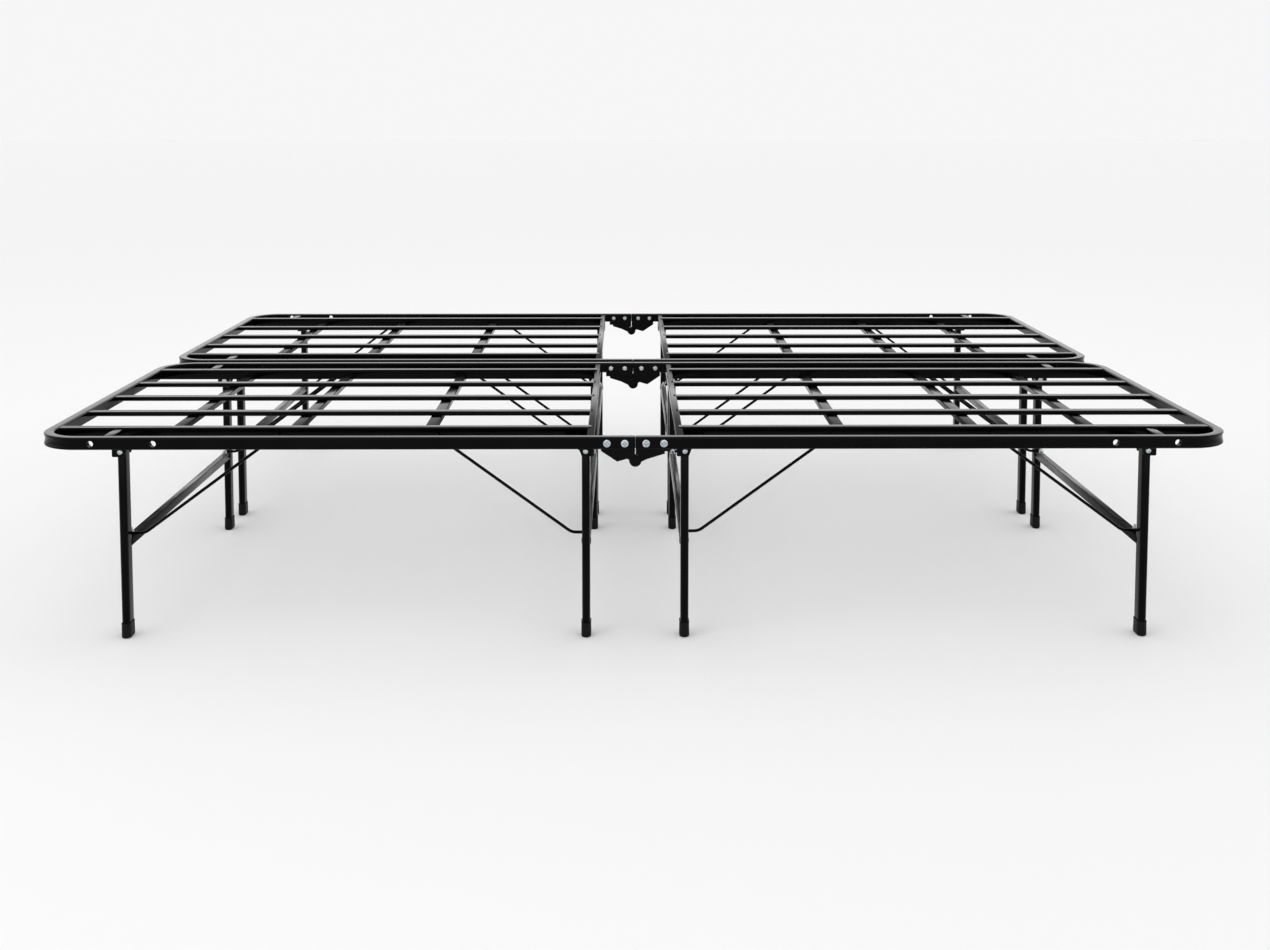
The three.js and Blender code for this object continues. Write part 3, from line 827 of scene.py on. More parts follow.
@dataclass
class Rail:
    """The U-shaped tube of a half, with its screw holes and the plugs in its open ends."""

    width: float = 18.0
    height: float = 21.0
    edge: float = 3.2
    corner: float = 74.0
    corner_steps: int = 30
    seam_gap: float = 0.4
    end_ease: float = 1.4
    end_step: float = 0.5
    end_step_share: float = 0.3
    dent: float = 3.0
    dent_rise: float = 0.7
    dent_edge: float = 6.0
    dent_fall: float = 1.2
    wall_places: int = 11
    plug_face: float = 0.12
    plug_inset: float = 1.3
    plug_edge: float = 2.0
    plug_tuck: float = 0.3
    plug_ease: float = 0.1
    wall: float = 1.5
    hole_x: tuple[float, float] = (810.0, 915.0)
    hole_radius: float = 5.25
    inner_hole_radius: float = 8.2
    cutter_overrun: float = 2.0

    @property
    def middle_z(self) -> float:
        """Height of the tube's middle line."""
        return SIZES.deck - self.height / 2

    def stations(self) -> tuple[np.ndarray, np.ndarray, np.ndarray]:
        """Middle line of the tube: three straights, joined by two quarter turns.

        In a turn, a point is the turn's middle plus its radius times the cosine and sine of the
        outward angle. The dent there is the full one times a power of the sine of twice the angle.

        Returns:
            Points, outward angles and dents, in order from the near seam to the far seam.
        """
        mid = self.corner - self.width / 2
        turn = np.linspace(0, np.pi / 2, self.corner_steps + 1)
        far_y = SIZES.unit_width - self.corner
        edge_x = SIZES.half_length - self.corner
        start = self.seam_gap + np.array([0, self.end_step, self.end_ease])
        near = np.stack([start, np.full(3, self.width / 2)], axis=-1)
        first = np.stack(
            [edge_x + mid * np.sin(turn), self.corner - mid * np.cos(turn)], axis=-1)
        second = np.stack([edge_x + mid * np.cos(turn), far_y + mid * np.sin(turn)], axis=-1)
        far = near[::-1] * (1, -1) + (0, SIZES.unit_width)
        points = np.concatenate([near, first, second, far])
        quarter = np.pi / 2
        angles = np.concatenate([np.full(3, -quarter), turn - quarter, turn, np.full(3, quarter)])
        bend = self.dent * np.clip(np.sin(2 * turn), 0, 1) ** self.dent_rise
        dents = np.concatenate([np.zeros(3), bend, bend, np.zeros(3)])
        return points, angles, dents

    def tube(self) -> Patch:
        """The bent tube.

        The section is a rounded rectangle. In the bends its outer wall sinks by the dent times a
        cosine of the height, and at the seam the section shrinks to an eased edge.

        Returns:
            The closed tube.
        """
        points, angles, dents = self.stations()
        half_width, half_height = self.width / 2, self.height / 2
        outline = rounded_rectangle(self.width, self.height, self.edge, 6)
        rise = np.linspace(-1, 1, self.wall_places + 2)[1:-1] * (half_height - self.edge)
        outer_wall = np.stack([np.full(len(rise), half_width), rise], axis=-1)
        outline = np.concatenate([outline[-1:], outer_wall, outline[:-1]])
        outer = np.clip(outline[:, 0] / half_width, 0, 1) ** self.dent_edge
        sink = np.cos(np.pi / 2 * outline[:, 1] / half_height) ** self.dent_fall
        shapes = np.tile(outline, (len(points), 1, 1))
        shapes[:, :, 0] -= dents[:, None] * (outer * sink)[None, :]
        inset = np.ones(len(points))
        inset[[0, -1]] = 1 - self.end_ease / half_width
        inset[[1, -2]] = 1 - self.end_ease * self.end_step_share / half_width
        centres = np.insert(points, 2, self.middle_z, axis=1)
        sides = np.stack([np.cos(angles), np.sin(angles), np.zeros(len(angles))], axis=-1)
        return carried(shapes, centres, sides, (0.0, 0.0, 1.0), inset)

    def hole_tools(self) -> Patch:
        """Cutters for the screw holes: narrow in the outer wall and wide in the inner one.

        Returns:
            Two cutters on each side of the unit.
        """
        profile = (
            (self.hole_radius, -self.cutter_overrun),
            (self.hole_radius, self.wall),
            (self.inner_hole_radius, self.wall),
            (self.inner_hole_radius, self.width + self.cutter_overrun),
        )
        bars = [turned(profile, (x, 0, self.middle_z), (0, 1, 0), 32) for x in self.hole_x]
        return both_sides(merged(bars))

    def end_plugs(self) -> Patch:
        """The thin flanges of the plugs in the tube's two open ends at the seam.

        Returns:
            Both flanges.
        """
        outline = rounded_rectangle(
            self.width - 2 * self.plug_inset, self.height - 2 * self.plug_inset, self.plug_edge)
        face = (self.plug_face, self.width / 2, self.middle_z)
        inner = (self.seam_gap + self.plug_tuck, self.width / 2, self.middle_z)
        return both_sides(straight_bar(face, inner, outline, ease=self.plug_ease))

    def build(self, quarter: Quarter) -> None:
        """Builds the tube with its holes cut, and its plugs.

        Args:
            quarter: the half that it belongs to.
        """
        node = f"{quarter.prefix}_rail"
        tube = build_piece(
            f"{node}_tube", quarter.place(self.tube()), GLOSS_POWDER, quarter.panel, node)
        cut_holes(tube, quarter.place(self.hole_tools()))
        build_piece(
            f"{node}_end_plugs", quarter.place(self.end_plugs()), MOULDED_PLASTIC, quarter.panel)


@dataclass
class LegBrackets:
    """The sheet brackets under the rail, with the bolt that each leg turns on."""

    length: float = 28.0
    sheet: float = 2.0
    near_flange: float = 26.5
    far_flange: float = 61.5
    web_top: float = 338.5
    web_edge: float = 0.8
    web_ease: float = 0.4
    bottom: float = 317.0
    corner: float = 2.5
    cut_run: float = 7.5
    rail_face: float = 18.0
    bead_margin: float = 2.0
    bead_radius: float = 1.5
    shank_radius: float = 3.0
    # Profiles of the pivot's ends: each pair is a radius and a height.
    button_head: Profile = (
        (4.8, 0.0), (4.8, 0.8), (4.5, 1.6), (4.0, 2.3),
        (3.3, 2.7), (2.7, 2.75), (2.5, 0.6), (0.5, 0.4))
    peened_end: Profile = ((5.2, 0.0), (5.2, 0.4), (4.6, 0.85), (1.0, 0.95))

    def flange(self, leg_x: float, y: float, stop: int) -> Patch:
        """A hanging flange, cut away on the side that the leg folds to.

        The outline is a straight top, a slope down to the bottom, and a quarter circle up the stop
        side.

        Args:
            leg_x: middle of the leg.
            y: near face.
            stop: sign of the side that doesn't fold.

        Returns:
            The closed plate.
        """
        reach, r = self.length / 2, self.corner
        turn = np.linspace(-np.pi / 2, 0, 6)
        stop_corner = np.stack(
            [reach - r + r * np.cos(turn), self.bottom + r + r * np.sin(turn)], axis=-1)
        slope = np.array([
            (reach, self.web_top),
            (-reach, self.web_top),
            (-reach, self.web_top - self.sheet),
            (-reach + self.cut_run, self.bottom),
        ])
        outline = np.concatenate([slope, stop_corner]) * (stop, 1) + (leg_x, 0)
        return plate_patch(outline, y, y + self.sheet)

    def bracket(self, leg_x: float, stop: int) -> Patch:
        """The web and both flanges of one bracket, with its weld to the rail.

        Args:
            leg_x: middle of the leg.
            stop: sign of the side that doesn't fold.

        Returns:
            The bracket.
        """
        reach = self.length / 2
        far_edge = self.far_flange + self.sheet
        outline = rounded_rectangle(
            far_edge - self.rail_face + SIZES.hidden_lap, self.sheet, self.web_edge, 3)
        y, z = (self.rail_face + far_edge) / 2, self.web_top - self.sheet / 2
        web = straight_bar(
            (leg_x - reach, y, z), (leg_x + reach, y, z), outline, ease=self.web_ease)
        bead_reach = reach - self.bead_margin
        y, z = self.rail_face + SIZES.hidden_lap, self.web_top - self.sheet
        bead = weld_bead(
            (leg_x - bead_reach, y, z), (leg_x + bead_reach, y, z), self.bead_radius)
        flanges = [self.flange(leg_x, y, stop) for y in (self.near_flange, self.far_flange)]
        return merged([web, *flanges, bead])

    def bolt(self, leg_x: float) -> Patch:
        """The pivot: a socket button head on the near flange, and a peened end on the far one.

        The peened end stays low, because the wire passes close over it as the leg folds.

        Args:
            leg_x: middle of the leg.

        Returns:
            Head, shank and peened end.
        """
        near = (leg_x, self.near_flange, SIZES.pivot_z)
        far = (leg_x, self.far_flange + self.sheet, SIZES.pivot_z)
        shank = ((self.shank_radius, 0.0), (self.shank_radius, self.far_flange - self.near_flange))
        return merged([
            turned(self.button_head, near, (0, -1, 0)),
            turned(shank, near, (0, 1, 0), 20),
            turned(self.peened_end, far, (0, 1, 0)),
        ])

    def build(self, quarter: Quarter) -> None:
        """Builds the four brackets of a half and their bolts.

        Args:
            quarter: the half that they belong to.
        """
        brackets = merged([self.bracket(x, legs.stop_sign) for legs, x in SIZES.leg_x.items()])
        bolts = merged([self.bolt(x) for x in SIZES.leg_x.values()])
        for name, patch, finish in (
            ("leg_brackets", brackets, SATIN_POWDER),
            ("pivot_bolts", bolts, ZINC_PLATE),
        ):
            placed = quarter.place(both_sides(patch))
            build_piece(f"{quarter.prefix}_{name}", placed, finish, quarter.panel)


@dataclass
class SlatGrid:
    """Slats, cross bars, middle bar and spacers of a half, welded together."""

    slat_ys: tuple[float, ...] = (90.0, 232.5, 375.0, 517.5, 660.0)
    slat_start: float = 76.0
    slat_end: float = 997.7
    side_width: float = 20.0
    side_height: float = 20.0
    side_edge: float = 2.6
    low_width: float = 22.0
    low_height: float = 8.0
    low_top: float = 354.5
    low_edge: float = 2.2
    bar_width: float = 20.0
    bar_bottom: float = 336.0
    bar_top: float = 347.0
    bar_edge: float = 2.2
    bar_ease: float = 0.2
    bar_xs: tuple[float, ...] = (807.0, 600.0, 361.5)
    mid_x: float = 76.0
    mid_width: float = 12.0
    mid_height: float = 15.5
    mid_edge: float = 2.0
    spacer_x: float = 893.0
    spacer_width: float = 16.0
    spacer_edge: float = 1.8
    spacer_ease: float = 0.3
    rail_face: float = 18.3
    fine_bead: float = 1.4
    bead: float = 1.5
    bead_set_off: float = 0.3
    rail_set_off: float = 0.6
    bead_clear: float = 1.0
    low_bead_margin: float = 3.0
    bar_top_reach: float = 8.0
    spacer_bead_depth: float = 7.0
    mid_bead_depth: float = 14.0
    # Depths of the middle bar's beads at the slats, below the low slats' top.
    mid_slat_bead: tuple[float, float] = (7.5, 0.8)

    def slats(self) -> tuple[Patch, Patch]:
        """The slats, as straight bars along X.

        Returns:
            The two tall side slats, and the three low ones.
        """
        side = rounded_rectangle(self.side_width, self.side_height, self.side_edge)
        low = rounded_rectangle(self.low_width, self.low_height, self.low_edge)
        side_z = SIZES.deck - self.side_height / 2
        low_z = self.low_top - self.low_height / 2
        tall, flat = (
            [
                straight_bar((self.slat_start, y, z), (self.slat_end, y, z), outline)
                for y in places
            ]
            for places, z, outline in (
                ((self.slat_ys[0], self.slat_ys[-1]), side_z, side),
                (self.slat_ys[1:-1], low_z, low),
            )
        )
        return merged(tall), merged(flat)

    def bars(self) -> Patch:
        """The bars along Y: three cross bars, the middle bar and two spacers.

        Returns:
            All six.
        """
        start = self.slat_ys[0] + self.side_width / 2 - SIZES.hidden_lap
        stop = SIZES.unit_width - start
        section = rounded_rectangle(self.bar_width, self.bar_top - self.bar_bottom, self.bar_edge)
        z = (self.bar_top + self.bar_bottom) / 2
        bars = [
            straight_bar((x, start, z), (x, stop, z), section, ease=self.bar_ease)
            for x in self.bar_xs
        ]
        section = rounded_rectangle(self.mid_width, self.mid_height, self.mid_edge)
        z = self.low_top - self.mid_height / 2
        far_face = SIZES.unit_width - self.rail_face
        bars.append(
            straight_bar((self.mid_x, self.rail_face, z), (self.mid_x, far_face, z), section))
        section = rounded_rectangle(self.spacer_width, self.low_height, self.spacer_edge)
        z = self.low_top - self.low_height / 2
        slat_face = self.slat_ys[0] - self.side_width / 2 + SIZES.hidden_lap
        spacer = straight_bar(
            (self.spacer_x, self.rail_face, z),
            (self.spacer_x, slat_face, z),
            section,
            ease=self.spacer_ease,
        )
        return merged([*bars, spacer, mirrored(spacer)])

    def low_slat_welds(self) -> list[Patch]:
        """Beads across the underside of each low slat, on both sides of every cross bar.

        Returns:
            The beads.
        """
        reach = self.low_width / 2 - self.low_bead_margin
        under = self.low_top - self.low_height
        return [
            weld_bead((edge, y - reach, under), (edge, y + reach, under), self.fine_bead)
            for y in self.slat_ys[1:-1]
            for x in self.bar_xs
            for edge in (x - self.bar_width / 2, x + self.bar_width / 2)
        ]

    def slat_end_welds(self) -> list[Patch]:
        """Upright beads on both sides of each slat, at the end rail and at the middle bar.

        Returns:
            The beads.
        """
        beads: list[Patch] = []
        end_x, mid_face = self.slat_end - self.rail_set_off, self.mid_x + self.mid_width / 2
        mid_low, mid_high = (self.low_top - depth for depth in self.mid_slat_bead)
        for y in self.slat_ys:
            if y in (self.slat_ys[0], self.slat_ys[-1]):
                half_width, height, top = self.side_width / 2, self.side_height, SIZES.deck
            else:
                half_width, height, top = self.low_width / 2, self.low_height, self.low_top
            low, high = top - height + self.bead_clear, top - self.bead_clear
            for face in (y - half_width, y + half_width):
                for x, z0, z1, radius in (
                    (end_x, low, high, self.bead),
                    (mid_face, mid_low, mid_high, self.fine_bead),
                ):
                    beads.append(weld_bead((x, face, z0), (x, face, z1), radius))
        return beads

    def side_slat_welds(self) -> list[Patch]:
        """Beads round each cross bar's ends: upright ones on both sides, and one along its top.

        Returns:
            The beads.
        """
        beads: list[Patch] = []
        near = self.slat_ys[0] + self.side_width / 2 + self.bead_set_off
        faces = (near, SIZES.unit_width - near)
        low, high = self.bar_bottom + self.bead_clear, self.bar_top - self.bead_clear
        reach = self.bar_top_reach
        for x in self.bar_xs:
            beads += [
                weld_bead((edge, y, low), (edge, y, high), self.bead)
                for edge in (x - self.bar_width / 2, x + self.bar_width / 2)
                for y in faces
            ] + [
                weld_bead((x - reach, y, self.bar_top), (x + reach, y, self.bar_top), self.bead)
                for y in faces
            ]
        return beads

    def rail_welds(self) -> list[Patch]:
        """Upright beads where the spacers and the middle bar meet the rail and the side slats.

        Returns:
            The beads.
        """
        beads: list[Patch] = []
        rail_y = self.rail_face + self.rail_set_off
        slat_y = self.slat_ys[0] - self.side_width / 2 - self.bead_set_off
        spacer_low = self.low_top - self.spacer_bead_depth
        middle_low = self.low_top - self.mid_bead_depth
        high = self.low_top - self.bead_clear
        for side in (-1, 1):
            spacer = self.spacer_x + side * self.spacer_width / 2
            middle = self.mid_x + side * self.mid_width / 2
            for x, y, low, radius in (
                (spacer, rail_y, spacer_low, self.fine_bead),
                (spacer, slat_y, spacer_low, self.fine_bead),
                (middle, rail_y, middle_low, self.bead),
            ):
                near = weld_bead((x, y, low), (x, y, high), radius)
                beads += [near, mirrored(near)]
        return beads

    def welds(self) -> Patch:
        """A bead beside each joint of slats, bars, spacers and rail.

        Returns:
            All the beads.
        """
        return merged([
            *self.low_slat_welds(),
            *self.slat_end_welds(),
            *self.side_slat_welds(),
            *self.rail_welds(),
        ])

    def build(self, quarter: Quarter) -> None:
        """Builds the grid of a half.

        Args:
            quarter: the half that it belongs to.
        """
        side, low = self.slats()
        for name, patch, node in (
            ("side_slats", side, f"{quarter.prefix}_slat_grid"),
            ("low_slats", low, ""),
            ("cross_bars", self.bars(), ""),
            ("weld_beads", self.welds(), ""),
        ):
            placed = quarter.place(patch)
            build_piece(f"{quarter.prefix}_{name}", placed, GLOSS_POWDER, quarter.panel, node)


@dataclass
class LegFrame:
    """Two flat-oval legs and the bar between them, with foot caps and the wires' bolts."""

    thickness: float = 14.0
    depth: float = 30.0
    bottom: float = 3.3
    top: float = 332.0
    end_ease: float = 1.2
    bar_thickness: float = 14.0
    bar_edge: float = 2.4
    bar_tuck: float = 6.8
    bead_tuck: float = 1.2
    bead_reach: float = 5.0
    side_bead_x: float = 6.6
    side_bead_tuck: float = 3.2
    side_bead_reach: float = 7.0
    bead: float = 1.8
    foot_thickness: float = 17.0
    foot_depth: float = 33.0
    foot_radius: float = 3.0
    # Each pair is a height on the foot cap and how far its section is inset there.
    foot_levels: Profile = ((12.0, 0.1), (23.4, 0.3), (23.8, 0.0), (25.6, 0.0), (26.0, 0.4))
    bolt_from_wire: float = 7.1
    nut_across: float = 8.4
    nut_height: float = 7.6
    stud_radius: float = 2.4
    # Profiles of the wires' bolt: each pair is a radius and a height.
    washer: Profile = ((5.0, 0.0), (5.0, 0.8), (4.8, 1.0), (2.6, 1.0))
    bolt_head: Profile = ((4.6, 0), (4.6, 0.8), (4.1, 1.8), (2.8, 2.6), (0.7, 2.9))

    def leg(self, leg_x: float) -> Patch:
        """A flat-oval tube, upright.

        Args:
            leg_x: middle of the leg.

        Returns:
            The near leg.
        """
        oval = flat_oval(self.thickness, self.depth, 10) * (-1, 1)
        low, high = ((leg_x, SIZES.leg_inset, z) for z in (self.bottom, self.top))
        return straight_bar(low, high, oval, up=(0.0, 1.0, 0.0), ease=self.end_ease)

    def bar(self, leg_x: float) -> Patch:
        """The bar between the legs, with a bead at each end on all four sides.

        Args:
            leg_x: middle of the legs.

        Returns:
            Bar and beads.
        """
        half_height = SIZES.leg_bar_height / 2
        z = SIZES.leg_bar_top - half_height
        start = SIZES.leg_inset + self.depth / 2 - self.bar_tuck
        section = rounded_rectangle(self.bar_thickness, SIZES.leg_bar_height, self.bar_edge)
        bar = straight_bar((leg_x, start, z), (leg_x, SIZES.unit_width - start, z), section)
        near = SIZES.leg_inset + self.depth / 2 - self.bead_tuck
        reach, side_reach = self.bead_reach, self.side_bead_reach
        beads = [
            weld_bead((leg_x - reach, near, level), (leg_x + reach, near, level), self.bead)
            for level in (z - half_height, z + half_height)
        ]
        near -= self.side_bead_tuck
        beads += [
            weld_bead((x, near, z - side_reach), (x, near, z + side_reach), self.bead)
            for x in (leg_x - self.side_bead_x, leg_x + self.side_bead_x)
        ]
        return merged([bar, *beads, *[mirrored(bead) for bead in beads]])

    def foot(self, leg_x: float) -> Patch:
        """A push-on cap.

        Its flat-oval section swells over a round bottom edge, stays straight with a slight draft
        and ends in a thin lip.

        Args:
            leg_x: middle of the leg.

        Returns:
            The near cap.
        """
        oval = flat_oval(self.foot_thickness, self.foot_depth, 12)
        turn = np.linspace(0, np.pi / 2, 6)
        levels = np.array(self.foot_levels)
        radius = self.foot_radius
        heights = np.concatenate([radius - radius * np.cos(turn), levels[:, 0]])
        insets = np.concatenate([radius - radius * np.sin(turn), levels[:, 1]])
        half = np.array([self.foot_thickness, self.foot_depth]) / 2
        shapes = oval[None] * (1 - insets[:, None, None] / half)
        centres = np.array([(leg_x, SIZES.leg_inset, height) for height in heights])
        return carried(shapes, centres, (1.0, 0.0, 0.0), (0.0, 1.0, 0.0))

    def wire_bolt(self, leg_x: float, wire_inset: float) -> Patch:
        """The upright bolt that holds a wire's end.

        Args:
            leg_x: middle of the leg.
            wire_inset: y of the wire.

        Returns:
            Washer, nut with the bolt's end, and the head below the bar.
        """
        y, top = wire_inset + self.bolt_from_wire, SIZES.leg_bar_top
        nut_z = top + self.washer[-1][1]
        return merged([
            turned(self.washer, (leg_x, y, top), (0, 0, 1)),
            hexagon_solid(
                self.nut_across, self.nut_height, (leg_x, y, nut_z), (0, 0, 1), self.stud_radius),
            turned(self.bolt_head, (leg_x, y, top - SIZES.leg_bar_height), (0, 0, -1)),
        ])

    def build(self, quarter: Quarter, leg_set: LegSet) -> None:
        """Builds one leg frame.

        Args:
            quarter: the half that it belongs to.
            leg_set: end or middle frame.
        """
        leg_x = SIZES.leg_x[leg_set]
        prefix = f"{quarter.prefix}_{leg_set.value}"
        body = f"{prefix}_legs"
        leg, foot = self.leg(leg_x), self.foot(leg_x)
        tubes = quarter.place(merged([leg, mirrored(leg), self.bar(leg_x)]))
        build_piece(f"{prefix}_leg_tubes", tubes, GLOSS_POWDER, body, f"{prefix}_leg_frame")
        for side, patch in ((Side.NEAR, foot), (Side.FAR, mirrored(foot))):
            node = f"{prefix}_{side.value}_foot"
            build_piece(f"{node}_cap", quarter.place(patch), MOULDED_PLASTIC, body, node)
        bolts = both_sides(self.wire_bolt(leg_x, SIZES.wire_inset[quarter.half]))
        build_piece(f"{prefix}_wire_bolts", quarter.place(bolts), ZINC_PLATE, body)


@dataclass
class WireBrace:
    """A bent round wire from a side slat down to the leg bar."""

    radius: float = 2.75
    sides: int = 14
    bend: float = 8.0
    slat_bend: float = 6.0
    bend_steps: int = 8
    pin_end: float = 102.0
    hook: float = 25.5
    lift: float = 0.6
    # Each pair is a distance from the wire's end and its share of the full radius there.
    round_end: Profile = ((0.0, 0.7), (0.35, 0.9), (0.8, 1.0))

    def corners(self, half: Half, leg_set: LegSet) -> np.ndarray:
        """The wire's corner points, before they are rounded.

        Args:
            half: left or right half.
            leg_set: end or middle frame.

        Returns:
            Pin end, slat bend, lower bend and flat end.
        """
        leg_x, pivot_x = SIZES.leg_x[leg_set], SIZES.wire_x[leg_set]
        inset = SIZES.wire_inset[half]
        low = SIZES.leg_bar_top + self.lift + self.radius
        return np.array([
            (pivot_x, self.pin_end, SIZES.wire_pivot_z),
            (pivot_x, inset, SIZES.wire_pivot_z),
            (leg_x - leg_set.stop_sign * self.hook, inset, low),
            (leg_x, inset, low),
        ])

    def path(self, corners: np.ndarray) -> np.ndarray:
        """Rounds the two inner corners.

        A bend is the curve (1-t)^2 before + 2t(1-t) corner + t^2 after, between the points that
        are a bend length before and after the corner.

        Args:
            corners: the four corner points.

        Returns:
            Points along the wire.
        """
        t = np.linspace(0, 1, self.bend_steps + 1)[:, None]
        pieces = [corners[:1]]
        run_ins = (self.slat_bend, self.bend)
        for run_in, before, corner, after in zip(run_ins, corners, corners[1:], corners[2:]):
            back = corner + (before - corner) / np.linalg.norm(before - corner) * run_in
            ahead = corner + (after - corner) / np.linalg.norm(after - corner) * self.bend
            pieces.append((1 - t) ** 2 * back + 2 * t * (1 - t) * corner + t**2 * ahead)
        return np.concatenate([*pieces, corners[-1:]])

    def wire(self, half: Half, leg_set: LegSet) -> Patch:
        """The near wire, with its ends rounded over.

        The side direction is square to Y and to the wire's direction seen along Y, so the section
        doesn't twist. Where the wire runs along Y, the slope of its long stretch stands in.

        Args:
            half: left or right half.
            leg_set: end or middle frame.

        Returns:
            The closed wire.
        """
        corners = self.corners(half, leg_set)
        points = self.path(corners)
        ends, shares = np.array(self.round_end).T
        first, last = points[1] - points[0], points[-2] - points[-1]
        first, last = first / np.linalg.norm(first), last / np.linalg.norm(last)
        points = np.concatenate([
            points[0] + ends[:, None] * first,
            points[1:-1],
            points[-1] + ends[::-1, None] * last,
        ])
        ahead = np.gradient(points, axis=0)
        ahead /= np.linalg.norm(ahead, axis=1, keepdims=True)
        slope = (corners[2] - corners[1]) / np.linalg.norm(corners[2] - corners[1])
        level = ahead * (1, 0, 1)
        size = np.linalg.norm(level, axis=1, keepdims=True)
        level = np.where(size > 1e-3, level / np.maximum(size, 1e-9), slope)
        sides = np.cross((0.0, -1.0, 0.0), level)
        swell = np.full(len(points), self.radius)
        swell[: len(ends)] = swell[-len(ends) :][::-1] = self.radius * shares
        return carried(unit_circle(self.sides), points, sides, np.cross(ahead, sides), swell)

    def build(self, quarter: Quarter, leg_set: LegSet) -> None:
        """Builds the two wires of a leg frame.

        Args:
            quarter: the half that they belong to.
            leg_set: end or middle frame.
        """
        prefix = f"{quarter.prefix}_{leg_set.value}"
        wire = self.wire(quarter.half, leg_set)
        for side, patch in ((Side.NEAR, wire), (Side.FAR, mirrored(wire))):
            node = f"{prefix}_{side.value}_wire"
            build_piece(
                f"{node}_brace", quarter.place(patch), GLOSS_POWDER, f"{prefix}_wires", node)


@dataclass
class FoldHinge:
    """Screws and nuts of a fold hinge, and the finish of its plates and pin."""

    screw_xs: tuple[float, float] = (18.0, 48.0)
    screw_z: float = 345.5
    head_radius: float = 6.4
    head_height: float = 2.6
    plate_face: float = 20.8
    nut_across: float = 9.0
    nut_height: float = 4.0
    stud_radius: float = 2.8
    edge: float = 0.25
    edge_steps: int = 2
    edge_above: float = math.radians(40)

    def screws(self) -> Patch:
        """Pan heads on the rail's outer face, and nuts on the plate.

        Returns:
            The near hinge's screws and nuts in one half.
        """
        heads = [
            cross_head(self.head_radius, self.head_height, (x, 0.0, self.screw_z), (0, -1, 0))
            for x in self.screw_xs
        ]
        nuts = [
            hexagon_solid(
                self.nut_across,
                self.nut_height,
                (x, self.plate_face, self.screw_z),
                (0, 1, 0),
                self.stud_radius,
            )
            for x in self.screw_xs
        ]
        return merged(heads + nuts)

    def build(self, quarter: Quarter) -> None:
        """Builds the screws of one half's two hinges.

        Args:
            quarter: the half that they belong to.
        """
        both = quarter.place(both_sides(self.screws()))
        build_piece(f"{quarter.prefix}_hinge_screws", both, ZINC_PLATE, quarter.panel)

    def build_plates(self, unit: Unit) -> None:
        """Makes the plates and pins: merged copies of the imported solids, with eased edges.

        Args:
            unit: the unit that they belong to.
        """
        for side in Side:
            holder, swinger = Half.LEFT, Half.RIGHT
            if side is Side.FAR:
                holder, swinger = swinger, holder
            for part, half in (("fixed_plate", holder), ("moving_plate", swinger), ("pin", holder)):
                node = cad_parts[f"{unit.label}_{side.value}_hinge_{part}"]
                body = Quarter(unit, half).panel
                piece = build_piece(
                    f"{node.name}_eased", merged_copy(node.data), SATIN_POWDER, body, node.name)
                bevel = piece.modifiers.new("eased_edges", "BEVEL")
                bevel.width = self.edge * MM
                bevel.segments = self.edge_steps
                bevel.limit_method = "ANGLE"
                bevel.angle_limit = self.edge_above


# ---- The studio ----


@dataclass(frozen=True)
class SoftLight:
    """A square area light that points at the bed's middle, in metres and watts."""

    name: str
    place: Place
    size: float
    power: float

    def build(self) -> None:
        """Makes the light."""
        data = bpy.data.lights.new(self.name, "AREA")
        data.size = self.size
        data.energy = self.power
        light = bpy.data.objects.new(self.name, data)
        light.location = self.place
        light.rotation_euler = (-Vector(self.place)).to_track_quat("-Z", "Y").to_euler()
        bpy.context.scene.collection.objects.link(light)


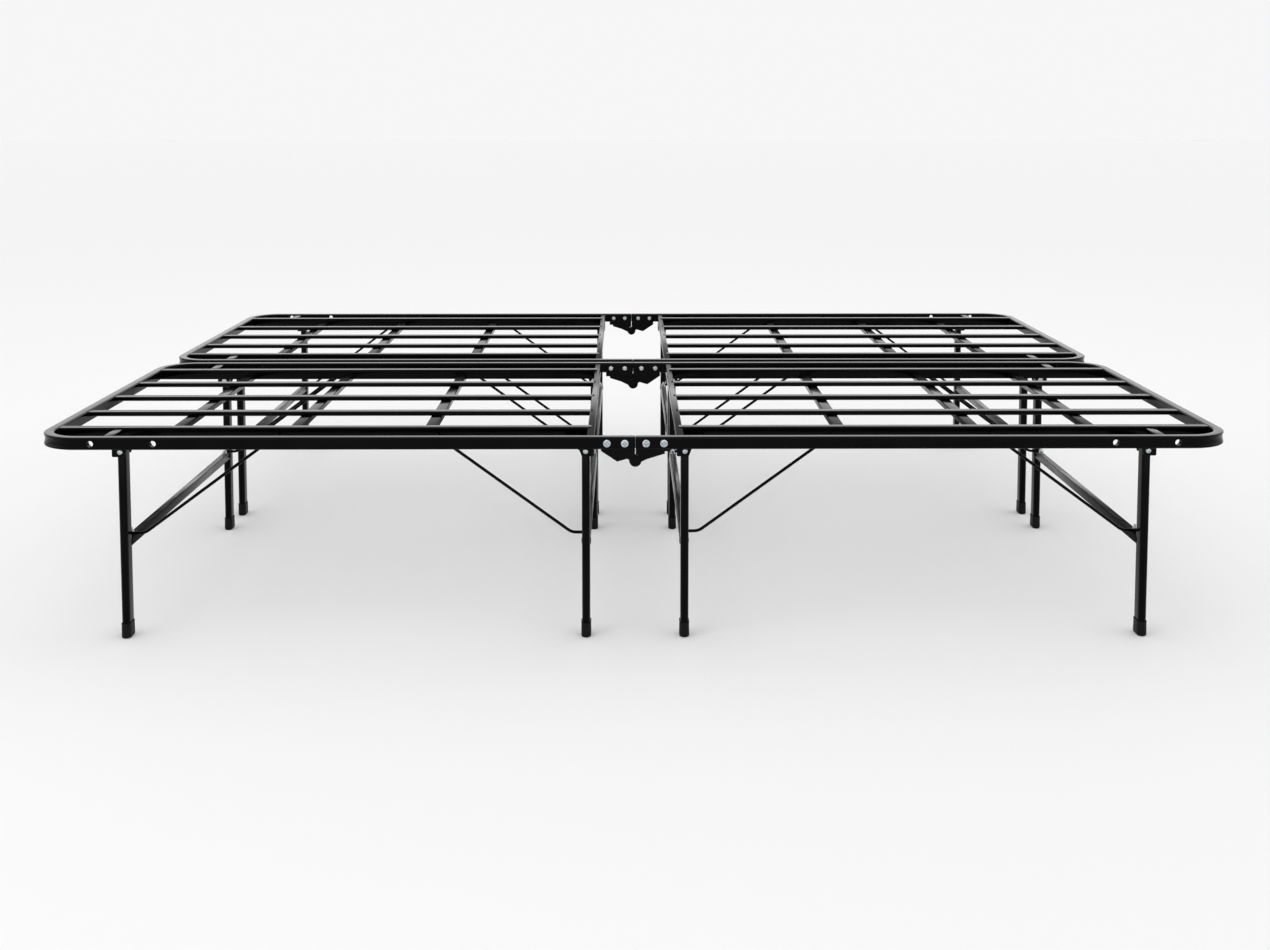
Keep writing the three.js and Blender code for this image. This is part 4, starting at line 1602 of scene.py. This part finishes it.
@dataclass(frozen=True)
class Studio:
    """Pale floor, white surroundings, soft lights and the camera.

    The camera's place, sensor and lens are in millimetres, its angles in degrees and its shift in
    frame widths. The floor and the lights are in metres.
    """

    camera_place: Place = (-17.5, -3224.1, 905.3)
    pitch_down: float = 4.45
    yaw_right: float = 0.39
    sensor: float = 36.0
    lens: float = 42.1313386
    shift_down: float = 0.19685039
    clip_end: float = 120.0
    floor_half: float = 40.0
    floor_colour: str = "#ebebeb"
    floor_roughness: float = 0.8
    floor_specular: float = 0.2
    surround: str = "#f6f6f6"
    # Each pair is a height on the sky, as the sine of its angle, and the brightness there.
    sky: Profile = ((0.0, 1.0), (0.075, 1.0), (0.13, 2.0), (0.3, 2.0), (0.5, 1.0), (1.0, 1.0))
    sky_peak: float = 2.0
    lights: tuple[SoftLight, ...] = (
        SoftLight("key", (-1.8, -2.4, 3.4), 2.2, 14.0),
        SoftLight("top", (0.4, 1.2, 3.8), 3.4, 12.0),
    )

    def build_camera(self) -> None:
        """Makes the camera. It looks along +Y, a little down, and its frame is shifted down."""
        data = bpy.data.cameras.new("camera")
        data.sensor_width = self.sensor
        data.lens = self.lens
        data.shift_y = -self.shift_down
        data.clip_end = self.clip_end
        camera = bpy.data.objects.new("camera", data)
        camera.location = Vector(self.camera_place) * MM
        turn = (math.radians(90 - self.pitch_down), 0.0, math.radians(-self.yaw_right))
        camera.rotation_euler = Euler(turn)
        bpy.context.scene.collection.objects.link(camera)
        bpy.context.scene.camera = camera

    def build_floor(self) -> None:
        """Makes the floor: a wide flat sheet at height zero."""
        s = self.floor_half
        mesh = bpy.data.meshes.new("floor")
        corners = [(-s, -s, 0), (s, -s, 0), (s, s, 0), (-s, s, 0)]
        mesh.from_pydata(corners, [], [(0, 1, 2, 3)])
        floor = bpy.data.objects.new("floor", mesh)
        bpy.context.scene.collection.objects.link(floor)
        material = bpy.data.materials.new("matt_white_floor")
        material.use_nodes = True
        shader = material.node_tree.nodes["Principled BSDF"]
        shader.inputs["Base Color"].default_value = linear(self.floor_colour)
        shader.inputs["Roughness"].default_value = self.floor_roughness
        shader.inputs["Specular IOR Level"].default_value = self.floor_specular
        mesh.materials.append(material)

    def build_surroundings(self) -> None:
        """Makes white surroundings with a brighter low band, and the soft lights from above."""
        bpy.context.scene.view_settings.view_transform = "Standard"
        world = bpy.data.worlds.new("studio")
        world.use_nodes = True
        tree = world.node_tree
        background = tree.nodes["Background"]
        background.inputs["Color"].default_value = linear(self.surround)
        aim = add_node(tree, "ShaderNodeTexCoord")
        split = add_node(
            tree, "ShaderNodeSeparateXYZ", {}, {"Vector": aim.outputs["Generated"]})
        sky = add_node(tree, "ShaderNodeValToRGB", {}, {"Fac": split.outputs["Z"]})
        shares = [(height, brightness / self.sky_peak) for height, brightness in self.sky]
        set_ramp(sky, [(height, (share, share, share, 1.0)) for height, share in shares])
        scale = add_node(tree, "ShaderNodeMath", {"operation": "MULTIPLY"})
        scale.inputs[1].default_value = self.sky_peak
        tree.links.new(sky.outputs["Color"], scale.inputs[0])
        tree.links.new(scale.outputs[0], background.inputs["Strength"])
        bpy.context.scene.world = world
        for light in self.lights:
            light.build()


def main() -> None:
    """Builds every sub-assembly of both units, then the studio."""
    logging.basicConfig(level=logging.INFO, format="%(name)s: %(message)s")
    rail, brackets, grid = Rail(), LegBrackets(), SlatGrid()
    legs, wires, hinge = LegFrame(), WireBrace(), FoldHinge()
    for unit in Unit:
        for half in Half:
            quarter = Quarter(unit, half)
            for assembly in (rail, brackets, grid, hinge):
                assembly.build(quarter)
            for leg_set in LegSet:
                legs.build(quarter, leg_set)
                wires.build(quarter, leg_set)
        hinge.build_plates(unit)
    studio = Studio()
    studio.build_camera()
    studio.build_floor()
    studio.build_surroundings()


if __name__ == "__main__":
    main()
